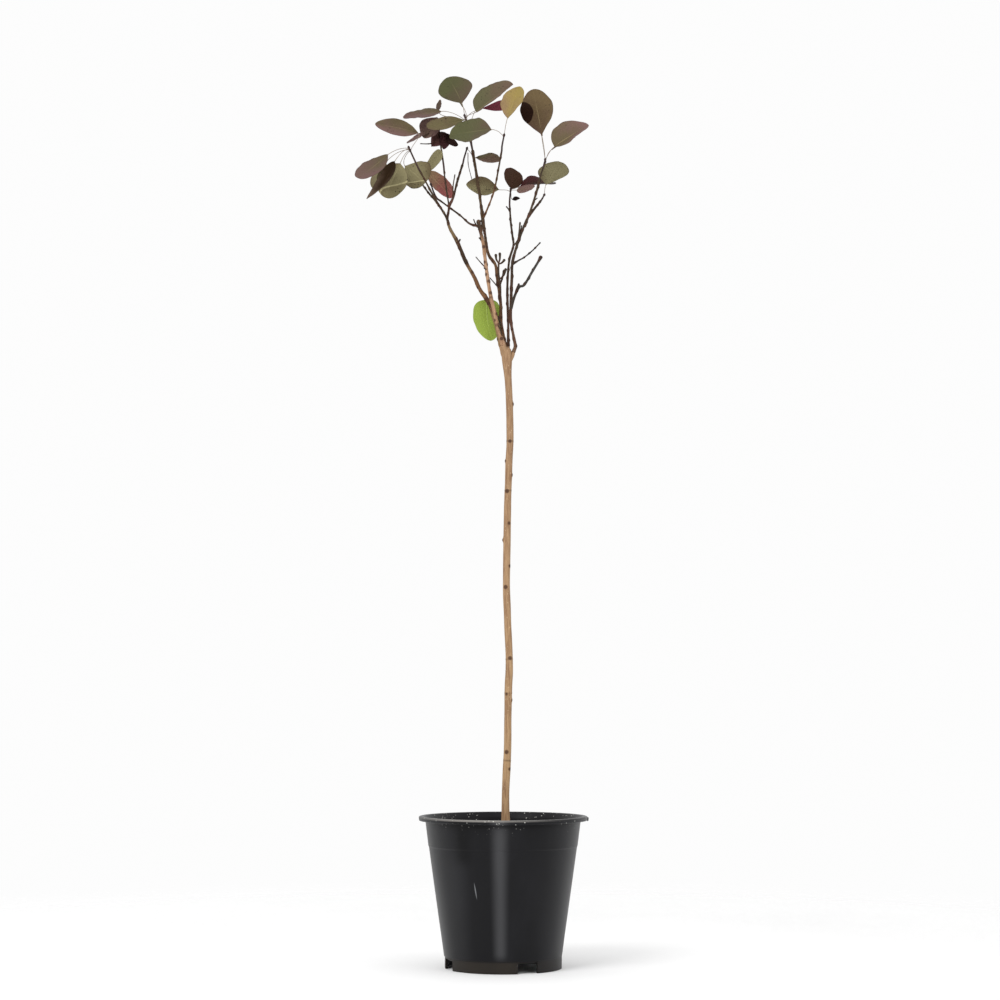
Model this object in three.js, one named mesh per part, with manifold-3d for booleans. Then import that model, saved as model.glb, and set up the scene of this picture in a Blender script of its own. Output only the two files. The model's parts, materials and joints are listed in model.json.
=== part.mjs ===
// A young purple smoke tree grown as a small standard in a round black nursery pot.
// Millimetres, +Z up, the front of the plant faces -Y. The origin is the centre of the pot's underside.
import * as THREE from "three";
import { mergeVertices } from "three/addons/utils/BufferGeometryUtils.js";
import Module from "manifold-3d";

const wasm = await Module();
wasm.setup();

// Driving dimensions of the pot, the soil and the clearances
const POT = {
  rimRadius: 95, height: 169, wallTopRadius: 87.4, wallFootRadius: 66.2, wallFoot: 13.8,
  thickness: 1.6, lip: 4.8, lipRound: 1.4, skirtRadius: 65.2, skirtThickness: 2.2,
  floor: 10.4, floorThickness: 1.8, padRadius: 15, sides: 36,
};
const NOTCH = { bearings: [-65, 25, 115, 200], span: 21, height: 11.6 };
const SOIL = { level: 149, edgeLevel: 146.5, flatRadius: 24 };
const CLEAR = 0.3;

// How limbs, stalks and leaves are drawn
const TRUNK_SIDES = 10;
const TRUNK_STEPS = 26;
const LIMB_SIDES = 6;
const STEM_SIDES = 5;
const STEM_RADIUS = [1.1, 0.9];
const STEM_LEAD = 0.35;
const STALK_SIDES = 3;
const STALK_STEPS = 4;
const STALK_RADIUS = 0.9;
const STALK_SINK = 1.5;
const LEAF = {
  thickness: 0.9, along: 6, across: 2, least: 0.05, ripple: 0.05, waves: 1.6,
};
const SAMPLE = { along: 12, across: 8, limbStep: 1, nearest: 3 };

const DEG = Math.PI / 180;
const UP = new THREE.Vector3(0, 0, 1);

// Colour, roughness and metalness of each finish
const FINISH = {
  pot: [0x2a2a2c, 0.55], soil: [0x3a2a1e, 0.95], bark: [0xa2805c, 0.85], pale: [0xc79a78, 0.7],
  brown: [0x6b4a35, 0.8], dark: [0x3d2c25, 0.8], olive: [0x5f6140, 0.6], plum: [0x6e4c50, 0.6],
  maroon: [0x341018, 0.5], umber: [0x61513c, 0.6], russet: [0x8a5446, 0.6],
  green: [0x8aa344, 0.6],
};

// The trunk from the soil to its knuckle: points up its middle line, and its radius at each
const TRUNK = {
  route: [[3, 0, 149.3], [3, 0, 198], [5, 1, 243], [6, 1, 310], [7, 0, 344], [4, -1, 430], [6, 1, 548],
    [8, 1, 594], [7, 0, 640], [5, 0, 680], [4, 0, 695]],
  radius: 4.3, topRadius: 3.9, flare: 3.2, flareHeight: 22, knuckle: 2.2, knuckleAt: 690, knuckleReach: 16,
};
const COLLAR_LENGTH = 5;

// Each limb: the limb it springs from, points along it, and its radius at foot and tip
const LIMBS = {
  bough_pale: { from: "trunk", finish: "pale", radius: [2.2, 1.7],
    route: [[0, -5, 703], [-5, -8, 719], [-10, -9, 741], [-15, -9, 763], [-19, -8, 790], [-22, -7, 815],
      [-25, -6, 830], [-28, -5, 845]] },
  bough_pale_twig: { from: "bough_pale", finish: "dark", radius: [1.2, 0.9],
    route: [[-27, -5, 839], [-38, 0, 843], [-49, 8, 854], [-61, 14, 864], [-73, 20, 874]] },
  bough_left: { from: "trunk", finish: "brown", radius: [2.4, 1.2],
    route: [[-2, 2, 703], [-7, 3, 723], [-15, 4, 750], [-26, 4, 767], [-33, 3, 782], [-43, 2, 800],
      [-50, 0, 817], [-61, -2, 838], [-65, -4, 850], [-78, -8, 871], [-94, -12, 900]] },
  bough_left_inner: { from: "bough_left", finish: "dark", radius: [1.4, 1.1],
    route: [[-64, -3, 848], [-62, 0, 862], [-64, 6, 877], [-67, 13, 899], [-68, 16, 909]] },
  bough_left_middle: { from: "bough_left_inner", finish: "dark", radius: [1.2, 1.0],
    route: [[-62, 0, 863], [-57, 5, 875], [-53, 12, 893], [-47, 20, 915]] },
  bough_centre: { from: "trunk", finish: "brown", radius: [1.9, 1.4],
    route: [[2, 6, 704], [-2, 7, 730], [-3, 8, 756], [-7, 10, 785], [-9, 10, 798], [-16, 10, 808],
      [-19, 9, 819], [-21, 8, 835], [-24, 8, 852], [-26, 10, 872], [-31, 14, 906], [-35, 17, 931]] },
  bough_centre_right: { from: "bough_centre", finish: "brown", radius: [1.2, 1.0],
    route: [[-23, 8, 850], [-17, 3, 863], [-10, -4, 881], [-5, -12, 905], [-2, -17, 921]] },
  bough_right: { from: "trunk", finish: "dark", radius: [1.8, 1.2],
    route: [[12, -1, 695], [14, -1, 702], [12, -2, 713], [9, -3, 730], [9, -4, 748], [10, -5, 777],
      [11, -6, 798], [17, -6, 820], [24, -6, 839], [30, -7, 853], [37, -8, 874], [42, -9, 894],
      [46, -10, 906]] },
  bough_right_outer: { from: "bough_right", finish: "dark", radius: [1.2, 1.0],
    route: [[29, -7, 850], [36, -2, 860], [43, 5, 870]] },
  bough_back: { from: "trunk", finish: "dark", radius: [1.6, 1.1],
    route: [[6, 7, 703], [6, 12, 731], [5, 15, 769], [7, 18, 802], [12, 20, 821], [11, 24, 833],
      [9, 30, 851], [8, 36, 868]] },
  bough_rear: { from: "bough_centre", finish: "dark", radius: [1.3, 1.0],
    route: [[-21, 8, 833], [-23, 20, 857], [-27, 34, 881], [-32, 50, 915], [-35, 58, 936]] },
  bough_rear_left: { from: "bough_left", finish: "dark", radius: [1.2, 1.0],
    route: [[-71, -6, 860], [-77, 7, 870], [-86, 21, 883], [-96, 36, 899]] },
  bough_rear_right: { from: "bough_right", finish: "dark", radius: [1.2, 1.0],
    route: [[25, -6, 839], [31, 6, 857], [38, 18, 880], [43, 28, 899], [45, 34, 909]] },
  bough_low_right: { from: "bough_right", finish: "dark", radius: [1.9, 1.4],
    route: [[9, -4, 745], [13, -10, 757], [18, -16, 767], [24, -20, 769], [32, -28, 781], [43, -38, 798]] },
  bough_thin_right: { from: "bough_right", finish: "dark", radius: [1.0, 0.7],
    route: [[11, -6, 795], [17, 0, 800], [25, 8, 806], [35, 18, 816], [43, 28, 826]] },
};

// One leaf of a shoot: the stalk's bearing, lift and length, then the blade's bearing, lift, length, width,
// roll about its midrib, fold along it and curl, and its shape: where it is widest, how it closes at its base
// and at its tip (1 is a wedge, 0.5 is round), and how far it bows sideways, as a share of its length.
// Bearings run from +X towards +Y, in degrees.
function leaf(stalkBearing, stalkLift, stalk, bearing, lift, length, width, roll, fold, curl, shape) {
  const [belly, baseShape, tipShape, bow] = shape;
  return {
    stalkBearing, stalkLift, stalk, bearing, lift, length, width, roll, fold, curl, belly, baseShape, tipShape, bow,
  };
}

// Each shoot grows on from a limb's tip: its stem, what it bears, and the sphere of space round its hub
const SHOOTS = {
  foliage_left: { from: "bough_left", seed: 11, space: 90, finish: "olive",
    stem: [[-94, -12, 900], [-102, -14, 916], [-107, -15, 927]],
    leaves: [
      leaf(-169, -18, 26, -157, -39, 47, 31, -35, 3, 4, [0.59, 0.6, 0.35, 0.21]),
      leaf(-138, -38, 28, -152, -53, 58, 17, -44, 27, 4, [0.36, 1.2, 0.69, 0.35]),
      leaf(166, -26, 32, 140, -50, 33, 25, -72, 3, 11, [0.54, 0.4, 0.42, 0.21]),
      leaf(176, -53, 19, -166, -67, 44, 36, -79, 13, 23, [0.51, 0.75, 0.46, -0.05]),
      leaf(114, -42, 22, 6, -41, 30, 42, 74, 14, 17, [0.59, 0.71, 0.41, 0.01]),
      leaf(39, 65, 25, -165, 9, 51, 20, -95, 18, 15, [0.5, 0.85, 0.57, -0.06]),
    ] },
  foliage_upper_left: { from: "bough_left_inner", seed: 23, space: 66, finish: "maroon",
    stem: [[-68, 16, 909], [-70, 20, 925], [-72, 23, 939], [-74, 25, 956]],
    leaves: [
      leaf(-115, 70, 16, -145, -56, 32, 26, -50, 14, 10, [0.53, 0.86, 0.59, 0.01]),
      leaf(-136, 5, 11, -157, -30, 36, 13, -20, 11, 4, [0.47, 0.77, 0.5, 0.07]),
      leaf(-64, -7, 7, -153, -52, 22, 17, -87, 20, 31, [0.51, 0.55, 0.99, -0.09]),
      leaf(-61, 17, 7, -11, -85, 21, 15, 46, 23, 34, [0.47, 0.57, 0.59, -0.02]),
      leaf(-40, 11, 10, -28, -46, 23, 10, 100, 24, 37, [0.53, 0.85, 0.4, -0.13]),
      leaf(-80, -62, 20, 159, -49, 31, 13, -98, 3, 4, [0.36, 0.5, 0.35, 0.16]),
    ] },
  foliage_inner_left: { from: "bough_pale_twig", seed: 31, space: 70, finish: "russet",
    stem: [[-73, 20, 874], [-80, 24, 884], [-83, 27, 893]],
    leaves: [
      leaf(117, 52, 24, 23, -39, 43, 27, 66, 10, 8, [0.53, 0.58, 0.4, -0.12]),
    ] },
  foliage_middle: { from: "bough_left_middle", seed: 43, space: 90, finish: "olive",
    stem: [[-47, 20, 915], [-45, 23, 924], [-42, 26, 935]],
    leaves: [
      leaf(-12, -47, 14, -26, -11, 34, 16, 57, 15, 8, [0.61, 0.79, 0.61, 0.01]),
    ] },
  foliage_top: { from: "bough_centre", seed: 59, space: 90, finish: "olive",
    stem: [[-35, 17, 931], [-38, 19, 950], [-44, 20, 972]],
    leaves: [
      leaf(150, 76, 17, 133, 55, 42, 41, -40, 5, 10, [0.5, 1.03, 0.61, -0.04]),
      leaf(-32, 18, 16, -8, 36, 53, 41, 46, 26, 4, [0.37, 0.63, 0.41, -0.04]),
      leaf(24, 35, 25, 16, 14, 34, 12, 97, 11, 13, [0.66, 0.59, 0.53, -0.12]),
      leaf(-100, -10, 12, -164, -15, 46, 17, -68, 13, 14, [0.57, 0.7, 0.35, 0.07]),
      leaf(-161, 17, 32, -164, -13, 46, 24, -35, 5, 10, [0.42, 0.88, 0.41, 0.11]),
      leaf(-170, 20, 35, 72, 68, 16, 8, -20, 10, 8, [0.46, 0.8, 0.64, 0.01]),
    ] },
  foliage_top_centre: { from: "bough_centre_right", seed: 61, space: 80, finish: "olive",
    stem: [[-2, -17, 921], [-1, -18, 930], [1, -20, 940]],
    leaves: [
      leaf(-44, 74, 21, 13, 69, 40, 39, 29, 8, 7, [0.55, 0.74, 0.64, 0.01]),
      leaf(-156, 25, 17, 169, -6, 49, 49, -45, 8, 11, [0.47, 0.89, 0.44, 0.08]),
    ] },
  foliage_top_right: { from: "bough_right", seed: 71, space: 100, finish: "umber",
    stem: [[46, -10, 906], [47, -10, 910], [48, -10, 914]],
    leaves: [
      leaf(112, 74, 32, 137, 76, 58, 39, -58, 3, 7, [0.55, 1.11, 0.55, -0.03]),
      leaf(-36, 48, 20, -5, 32, 46, 42, 50, 25, 5, [0.36, 0.72, 0.58, -0.03]),
    ] },
  foliage_lower_right: { from: "bough_right_outer", seed: 83, space: 66, finish: "olive",
    stem: [[43, 5, 870], [45, 6, 873], [47, 8, 877]],
    leaves: [
      leaf(57, 71, 15, 41, 54, 36, 40, 22, 3, 6, [0.54, 0.78, 0.65, -0.08]),
    ] },
  foliage_back: { from: "bough_back", seed: 97, space: 76, finish: "maroon",
    stem: [[8, 36, 868], [8, 41, 881], [9, 45, 891]],
    leaves: [
      leaf(-5, 17, 11, 34, 11, 45, 42, 21, 14, 24, [0.66, 0.67, 0.35, -0.12]),
      leaf(72, 35, 4, 81, 67, 29, 26, 37, 14, 14, [0.53, 0.53, 0.56, 0.1]),
      leaf(-49, -3, 11, -31, 4, 24, 13, 57, 3, 4, [0.43, 0.7, 0.35, -0.19]),
      leaf(-68, -65, 11, -41, -1, 12, 5, 94, 10, 10, [0.5, 0.81, 0.65, 0.04]),
      leaf(-143, 2, 17, -167, 7, 39, 22, -95, 11, 12, [0.52, 0.94, 0.66, -0.07]),
    ] },
  foliage_rear: { from: "bough_rear", seed: 103, space: 84, finish: "olive",
    stem: [[-35, 58, 936], [-38, 66, 952], [-41, 72, 966]],
    leaves: [
      leaf(46, 34, 18, 147, -13, 34, 29, -44, 12, 14, [0.53, 0.8, 0.55, 0.03]),
      leaf(111, 62, 39, 158, 50, 41, 35, 12, 10, 12, [0.53, 0.8, 0.55, 0.03]),
      leaf(39, 66, 38, 32, 47, 41, 31, 6, 10, 12, [0.53, 0.8, 0.55, 0.03]),
      leaf(77, 11, 23, 95, 13, 37, 29, -8, 14, 16, [0.53, 0.8, 0.55, 0.03]),
    ] },
  foliage_rear_left: { from: "bough_rear_left", seed: 107, space: 72, finish: "plum",
    stem: [[-96, 36, 899], [-100, 44, 908], [-106, 50, 914]],
    leaves: [
      leaf(156, 11, 27, 133, -18, 35, 30, -75, 12, 16, [0.53, 0.8, 0.55, 0.03]),
      leaf(89, 20, 13, 76, -11, 31, 28, -10, 12, 16, [0.53, 0.8, 0.55, 0.03]),
      leaf(131, 10, 21, 119, -2, 35, 29, -45, 12, 16, [0.53, 0.8, 0.55, 0.03]),
    ] },
  foliage_rear_right: { from: "bough_rear_right", seed: 109, space: 96, finish: "umber",
    stem: [[45, 34, 909], [47, 39, 916], [49, 43, 923]],
    leaves: [
      leaf(111, 75, 38, 80, 76, 45, 34, -32, 10, 14, [0.53, 0.8, 0.55, 0.03]),
      leaf(44, 57, 21, -5, 27, 34, 26, 12, 12, 14, [0.53, 0.8, 0.55, 0.03]),
      leaf(28, -27, 4, 9, -18, 34, 28, 17, 12, 14, [0.53, 0.8, 0.55, 0.03]),
    ] },
  leaf_at_fork: { from: "bough_left", side: true, seed: 113, space: 90, finish: "green",
    stem: [[-15, 4, 750], [-16, 8, 752], [-17, 11, 755]],
    leaves: [
      leaf(158, 40, 3, -22, -83, 48, 34, 58, 6, 4, [0.4, 0.4, 0.5, -0.11]),
    ] },
};

// Short dead spurs of the bare shoot: place along its stem, bearing, lift, length
const BARE_SPUR = { from: "bough_centre", side: true, seed: 127, finish: "dark", radius: 1.1, club: 1.5,
  stem: [[-3, 8, 750], [-3, 1, 770], [-5, -1, 785], [-5, -2, 797]],
  spurs: [[1, -150, 76, 10], [1, 60, 84, 12], [0.98, -10, 42, 8], [0.62, 10, 66, 14]] };

// A seeded run of numbers from 0 to 1, by a linear congruence on 32 bits
class Chance {
  constructor(seed) {
    this.state = seed;
  }

  next() {
    this.state = (Math.imul(this.state, 1664525) + 1013904223) >>> 0;
    return this.state / 4294967296;
  }

  between(low, high) {
    return low + (high - low) * this.next();
  }
}

const point = (p) => new THREE.Vector3(...p);

function heading(bearing, lift) {
  const level = Math.cos(lift * DEG);
  return new THREE.Vector3(level * Math.cos(bearing * DEG), level * Math.sin(bearing * DEG), Math.sin(lift * DEG));
}

// Solids: a geometry as a manifold solid, and a solid as a named mesh
function solid(geometry) {
  geometry.deleteAttribute("normal");
  geometry.deleteAttribute("uv");
  const merged = mergeVertices(geometry, 1e-4);
  return closed(merged.attributes.position.array, merged.index.array);
}

function closed(places, faces) {
  return new wasm.Manifold(new wasm.Mesh({
    numProp: 3,
    vertProperties: Float32Array.from(places),
    triVerts: Uint32Array.from(faces),
  }));
}

function largest(body) {
  const pieces = body.decompose();
  return pieces.reduce((best, piece) => (piece.volume() > best.volume() ? piece : best));
}

function mesh(name, body, finish) {
  const made = body.getMesh();
  const geometry = new THREE.BufferGeometry();
  geometry.setAttribute("position", new THREE.BufferAttribute(Float32Array.from(made.vertProperties), 3));
  geometry.setIndex(new THREE.BufferAttribute(Uint32Array.from(made.triVerts), 1));
  geometry.computeVertexNormals();
  const [color, roughness] = FINISH[finish];
  const piece = new THREE.Mesh(geometry, new THREE.MeshStandardMaterial({ color, roughness, metalness: 0 }));
  piece.name = name;
  return piece;
}

// A round limb of changing radius along a curve: a closed cylinder bent so that each ring stands square on it
function limb(curve, radiusAt, sides, steps) {
  const geometry = new THREE.CylinderGeometry(1, 1, 1, sides, steps);
  const place = geometry.attributes.position;
  const start = curve.getPoint(0);
  const chord = curve.getPoint(1).sub(start).normalize();
  const side = Math.abs(chord.y) > 0.9 ? new THREE.Vector3(1, 0, 0) : new THREE.Vector3(0, 1, 0);
  for (let i = 0; i < place.count; i += 1) {
    const t = Math.min(1, Math.max(0, place.getY(i) + 0.5));
    const along = curve.getTangent(t);
    const across = new THREE.Vector3().crossVectors(side, along).normalize();
    const out = new THREE.Vector3().crossVectors(along, across);
    const radius = radiusAt(t);
    const spot = curve.getPoint(t)
      .addScaledVector(across, radius * place.getX(i))
      .addScaledVector(out, -radius * place.getZ(i));
    place.setXYZ(i, spot.x, spot.y, spot.z);
  }
  return solid(geometry);
}

function spline(route) {
  return new THREE.CatmullRomCurve3(route.map(point), false, "catmullrom", 0.5);
}

// A bough's line, set off from the collar that it stands on
function boughLine({ from, route }) {
  if (from !== "trunk") {
    return spline(route);
  }
  const foot = point(route[0]);
  const along = point(route[1]).sub(foot).normalize();
  return spline([foot.addScaledVector(along, CLEAR).toArray(), ...route.slice(1)]);
}

// A shoot's stem: it carries on square from its limb's tip, or starts inside the limb and is cut clear later
function stemLine({ from, side, stem }) {
  if (side) {
    return spline(stem);
  }
  const [before, tip] = LIMBS[from].route.slice(-2).map(point);
  const along = tip.clone().sub(before).normalize();
  const start = tip.clone().addScaledVector(along, CLEAR);
  const lead = STEM_LEAD * point(stem[1]).distanceTo(tip);
  const next = tip.clone().addScaledVector(along, lead);
  return spline([start.toArray(), next.toArray(), ...stem.slice(1)]);
}

// The limb that another one springs from, thickened by the clearance
function clearanceBody(name) {
  if (name === "trunk") {
    const line = spline(TRUNK.route);
    return limb(line, (t) => trunkRadius(line.getPoint(t).z) + CLEAR, TRUNK_SIDES, TRUNK_STEPS);
  }
  const { route, radius } = LIMBS[name];
  return limb(boughLine(LIMBS[name]), taper(radius.map((r) => r + CLEAR)), LIMB_SIDES, 2 * (route.length - 1));
}

const taper = ([foot, tip]) => (t) => foot + (tip - foot) * t;

// The outline of a leaf: its half width at a share of its length, a sine raised to a power from base to tip
function outline(u, { belly, baseShape, tipShape }) {
  const rise = Math.sin(Math.PI * u ** (Math.log(0.5) / Math.log(belly)));
  const shape = baseShape + (tipShape - baseShape) * u;
  return Math.max(LEAF.least, Math.max(0, rise) ** shape);
}

// The blade's own axes: along its midrib, across it, and out of its upper face
function bladeAxes({ bearing, lift, roll }) {
  const along = heading(bearing, lift);
  const level = UP.clone().addScaledVector(along, -along.z).normalize();
  const face = level.clone().multiplyScalar(Math.cos(roll * DEG))
    .addScaledVector(new THREE.Vector3().crossVectors(along, level), Math.sin(roll * DEG));
  const across = new THREE.Vector3().crossVectors(face, along);
  return { along, across, face };
}

// A point of the blade: u runs from base to tip, v from edge to edge, and lift stands it off the middle
function bladePoint(blade, u, v, off) {
  const { along, across, face } = blade.axes;
  const curl = blade.curl * DEG;
  const turn = curl * (u - 0.5);
  const wide = 0.5 * blade.width * outline(u, blade) * v;
  const fold = blade.fold * DEG;
  const wave = blade.ripple * blade.width * v * v * Math.sin(2 * Math.PI * LEAF.waves * u + blade.phase);
  const height = Math.abs(wide) * Math.sin(fold) + wave + off;
  const arc = blade.length / curl;
  const run = arc * (Math.sin(turn) + Math.sin(0.5 * curl)) + height * Math.sin(turn);
  const rise = arc * (Math.cos(turn) - Math.cos(0.5 * curl)) + height * Math.cos(turn);
  const aside = wide * Math.cos(fold) + blade.bow * blade.length * u * (1 - u);
  return blade.base.clone()
    .addScaledVector(along, run)
    .addScaledVector(across, aside)
    .addScaledVector(face, rise);
}

// A blade as a closed slab: both faces are split along the same diagonals, so they stay the thickness apart
function leafSolid(blade) {
  const { along, across, thickness } = LEAF;
  const places = [];
  for (const side of [0.5, -0.5]) {
    for (let i = 0; i <= along; i += 1) {
      const u = 0.5 - 0.5 * Math.cos((Math.PI * i) / along);
      for (let j = 0; j <= across; j += 1) {
        places.push(...bladePoint(blade, u, (2 * j) / across - 1, side * thickness).toArray());
      }
    }
  }
  const under = (along + 1) * (across + 1);
  const at = (i, j) => i * (across + 1) + j;
  const faces = [];
  const quad = (a, b, c, d) => faces.push(a, b, c, a, c, d);
  for (let i = 0; i < along; i += 1) {
    for (let j = 0; j < across; j += 1) {
      const [a, b, c, d] = [at(i, j), at(i + 1, j), at(i + 1, j + 1), at(i, j + 1)];
      quad(a, b, c, d);
      faces.push(under + a, under + c, under + b, under + a, under + d, under + c);
    }
    quad(at(i, 0), under + at(i, 0), under + at(i + 1, 0), at(i + 1, 0));
    quad(at(i + 1, across), under + at(i + 1, across), under + at(i, across), at(i, across));
  }
  for (let j = 0; j < across; j += 1) {
    quad(at(0, j + 1), under + at(0, j + 1), under + at(0, j), at(0, j));
    quad(at(along, j), under + at(along, j), under + at(along, j + 1), at(along, j + 1));
  }
  return closed(places, faces);
}

// Points spread over a leaf, or along a curve, that stand for it when leaves are kept apart
function leafSamples(blade) {
  const spots = [];
  for (let i = 0; i <= SAMPLE.along; i += 1) {
    for (let j = 0; j <= SAMPLE.across; j += 1) {
      spots.push(bladePoint(blade, i / SAMPLE.along, (2 * j) / SAMPLE.across - 1, 0));
    }
  }
  return spots;
}

function curveSamples(curve) {
  const count = Math.ceil(curve.getLength() / SAMPLE.limbStep);
  return curve.getPoints(count);
}

function touches(spots, others) {
  return spots.some((a) => others.some((b) => a.distanceToSquared(b) < SAMPLE.nearest ** 2));
}

// What is already in place, by node, as sample points
const standing = new Map();

function meetsOther(spots, own) {
  for (const [name, others] of standing) {
    if (name !== own && touches(spots, others)) {
      return name;
    }
  }
  return null;
}

// One leaf on its stalk, grown from a spot of the stem by the shoot's rule
function growLeaf(plan, root, stemAlong, chance) {
  const reach = heading(plan.stalkBearing, plan.stalkLift);
  const base = root.clone().addScaledVector(reach, plan.stalk);
  const blade = {
    ...plan,
    base,
    axes: bladeAxes(plan),
    ripple: chance.between(0, LEAF.ripple),
    phase: chance.between(0, 2 * Math.PI),
  };
  const leave = reach.clone().addScaledVector(stemAlong, 0.6).normalize();
  const into = base.clone().addScaledVector(blade.axes.along, STALK_SINK);
  const stalk = new THREE.CubicBezierCurve3(
    root,
    root.clone().addScaledVector(leave, plan.stalk / 3),
    base.clone().addScaledVector(blade.axes.along, -plan.stalk * 0.3),
    into,
  );
  return { blade, stalk };
}

function growShoot(name, shoot) {
  const chance = new Chance(shoot.seed);
  const stem = stemLine(shoot);
  const hub = stem.getPoint(1);
  let body = limb(stem, taper(STEM_RADIUS), STEM_SIDES, 2 * shoot.stem.length);
  const grown = curveSamples(stem);
  shoot.leaves.forEach((plan, order) => {
    const at = 1 - 0.02 * order;
    const { blade, stalk } = growLeaf(plan, stem.getPoint(at), stem.getTangent(at), chance);
    const spots = [...leafSamples(blade), ...curveSamples(stalk)];
    if (spots.some((spot) => spot.distanceTo(hub) > shoot.space) || meetsOther(spots, name)) {
      console.warn(`${name}: leaf ${order} skipped ${meetsOther(spots, name)}`);
      return;
    }
    body = body.add(limb(stalk, () => STALK_RADIUS, STALK_SIDES, STALK_STEPS)).add(leafSolid(blade));
    grown.push(...spots);
  });
  standing.set(name, grown);
  if (shoot.side) {
    body = body.subtract(clearanceBody(shoot.from));
  }
  return mesh(name, largest(body), shoot.finish);
}

function bareSpur() {
  const { from, radius, club, spurs, seed, finish } = BARE_SPUR;
  const chance = new Chance(seed);
  const line = stemLine(BARE_SPUR);
  let body = limb(line, taper([radius, radius]), STEM_SIDES, 6);
  for (const [at, bearing, lift, length] of spurs) {
    const root = line.getPoint(at);
    const middle = heading(bearing, lift).multiplyScalar(length / 2).add(root);
    const end = heading(bearing + chance.between(-20, 20), lift).multiplyScalar(length / 2).add(middle);
    const curve = new THREE.CatmullRomCurve3([root, middle, end], false, "catmullrom", 0.5);
    body = body.add(limb(curve, taper([0.8, club]), STEM_SIDES, 4));
  }
  return mesh("bare_spur", largest(body.subtract(clearanceBody(from))), finish);
}

// The trunk: its radius swells into the root flare at the soil and into the knuckle at the fork
function trunkRadius(z) {
  const { route, radius, topRadius, flare, flareHeight, knuckle, knuckleAt, knuckleReach } = TRUNK;
  const foot = route[0][2];
  const rise = (z - foot) / (knuckleAt - foot);
  const root = flare * Math.exp(-(z - foot) / flareHeight * 2.5);
  const swell = knuckle * Math.exp(-(((z - knuckleAt) / knuckleReach) ** 2));
  return radius + (topRadius - radius) * rise + root + swell;
}

function trunk() {
  const line = spline(TRUNK.route);
  let body = limb(line, (t) => trunkRadius(line.getPoint(t).z), TRUNK_SIDES, TRUNK_STEPS);
  const core = line.getPoint(0.97);
  for (const { from, route, radius } of Object.values(LIMBS)) {
    if (from !== "trunk") {
      continue;
    }
    const end = point(route[0]);
    const along = point(route[1]).sub(end).normalize();
    const before = end.clone().addScaledVector(along, -COLLAR_LENGTH);
    const curve = new THREE.CatmullRomCurve3([core, before, end], false, "catmullrom", 0.5);
    body = body.add(limb(curve, taper([radius[0] * 1.5, radius[0] * 1.1]), LIMB_SIDES, 6));
  }
  return body;
}

function boughs() {
  const bodies = new Map([["trunk", trunk()]]);
  standing.set("trunk", curveSamples(spline(TRUNK.route)));
  for (const [name, { from, route, radius }] of Object.entries(LIMBS)) {
    const line = boughLine({ from, route });
    let body = limb(line, taper(radius), LIMB_SIDES, 2 * (route.length - 1));
    if (from !== "trunk") {
      body = largest(body.subtract(clearanceBody(from)));
    }
    bodies.set(name, body);
    standing.set(name, curveSamples(line));
  }
  return bodies;
}

// The pot: one turned profile with the lip, the sloping wall, the floor and the foot, notched round its foot
function wallRadius(z) {
  const { wallTopRadius, wallFootRadius, wallFoot, height, lip } = POT;
  return wallFootRadius + ((wallTopRadius - wallFootRadius) * (z - wallFoot)) / (height - lip - wallFoot);
}

function potSolid() {
  const p = POT;
  const lipFoot = p.height - p.lip;
  const floorTop = p.floor + p.floorThickness;
  const innerTop = wallRadius(p.height) - p.thickness;
  const profile = [
    [0, 0], [p.padRadius, 0], [p.padRadius, p.floor],
    [p.skirtRadius - p.skirtThickness, p.floor], [p.skirtRadius - p.skirtThickness, 0],
    [p.skirtRadius, 0], [p.skirtRadius, p.wallFoot - 0.6], [p.wallFootRadius, p.wallFoot],
    [p.wallTopRadius, lipFoot], [p.rimRadius - p.lipRound, lipFoot],
    [p.rimRadius, lipFoot + p.lipRound], [p.rimRadius, p.height - p.lipRound],
    [p.rimRadius - p.lipRound, p.height], [innerTop, p.height],
    [wallRadius(floorTop) - p.thickness, floorTop], [0, floorTop],
  ].map(([r, z]) => new THREE.Vector2(r, z));
  let body = solid(new THREE.LatheGeometry(profile, p.sides).rotateX(Math.PI / 2));
  for (const bearing of NOTCH.bearings) {
    const wide = 2 * p.skirtRadius * Math.sin((NOTCH.span / 2) * DEG);
    const cut = new THREE.BoxGeometry(20, wide, NOTCH.height + 1)
      .translate(p.skirtRadius, 0, (NOTCH.height - 1) / 2)
      .rotateZ(bearing * DEG);
    body = body.subtract(solid(cut));
  }
  return body;
}

function soilSolid() {
  const foot = POT.floor + POT.floorThickness + CLEAR;
  const inner = (z) => wallRadius(z) - POT.thickness - CLEAR;
  const profile = [[0, foot], [inner(foot), foot], [inner(SOIL.edgeLevel), SOIL.edgeLevel],
    [SOIL.flatRadius, SOIL.level], [0, SOIL.level]].map(([r, z]) => new THREE.Vector2(r, z));
  return solid(new THREE.LatheGeometry(profile, POT.sides).rotateX(Math.PI / 2));
}

const plant = new THREE.Group();
plant.add(mesh("pot", potSolid(), "pot"));
plant.add(mesh("soil", soilSolid(), "soil"));
for (const [name, body] of boughs()) {
  plant.add(mesh(name, body, name === "trunk" ? "bark" : LIMBS[name].finish));
}
plant.add(bareSpur());
for (const [name, shoot] of Object.entries(SHOOTS)) {
  plant.add(growShoot(name, shoot));
}

export default plant;
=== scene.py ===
"""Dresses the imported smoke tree: its pot, potting mix, bark, twigs and leaves.

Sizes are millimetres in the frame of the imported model, and become metres where a mesh is made.
"""
import json
import logging
import math
from dataclasses import dataclass, replace
from enum import Enum
from typing import Sequence, Union

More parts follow.
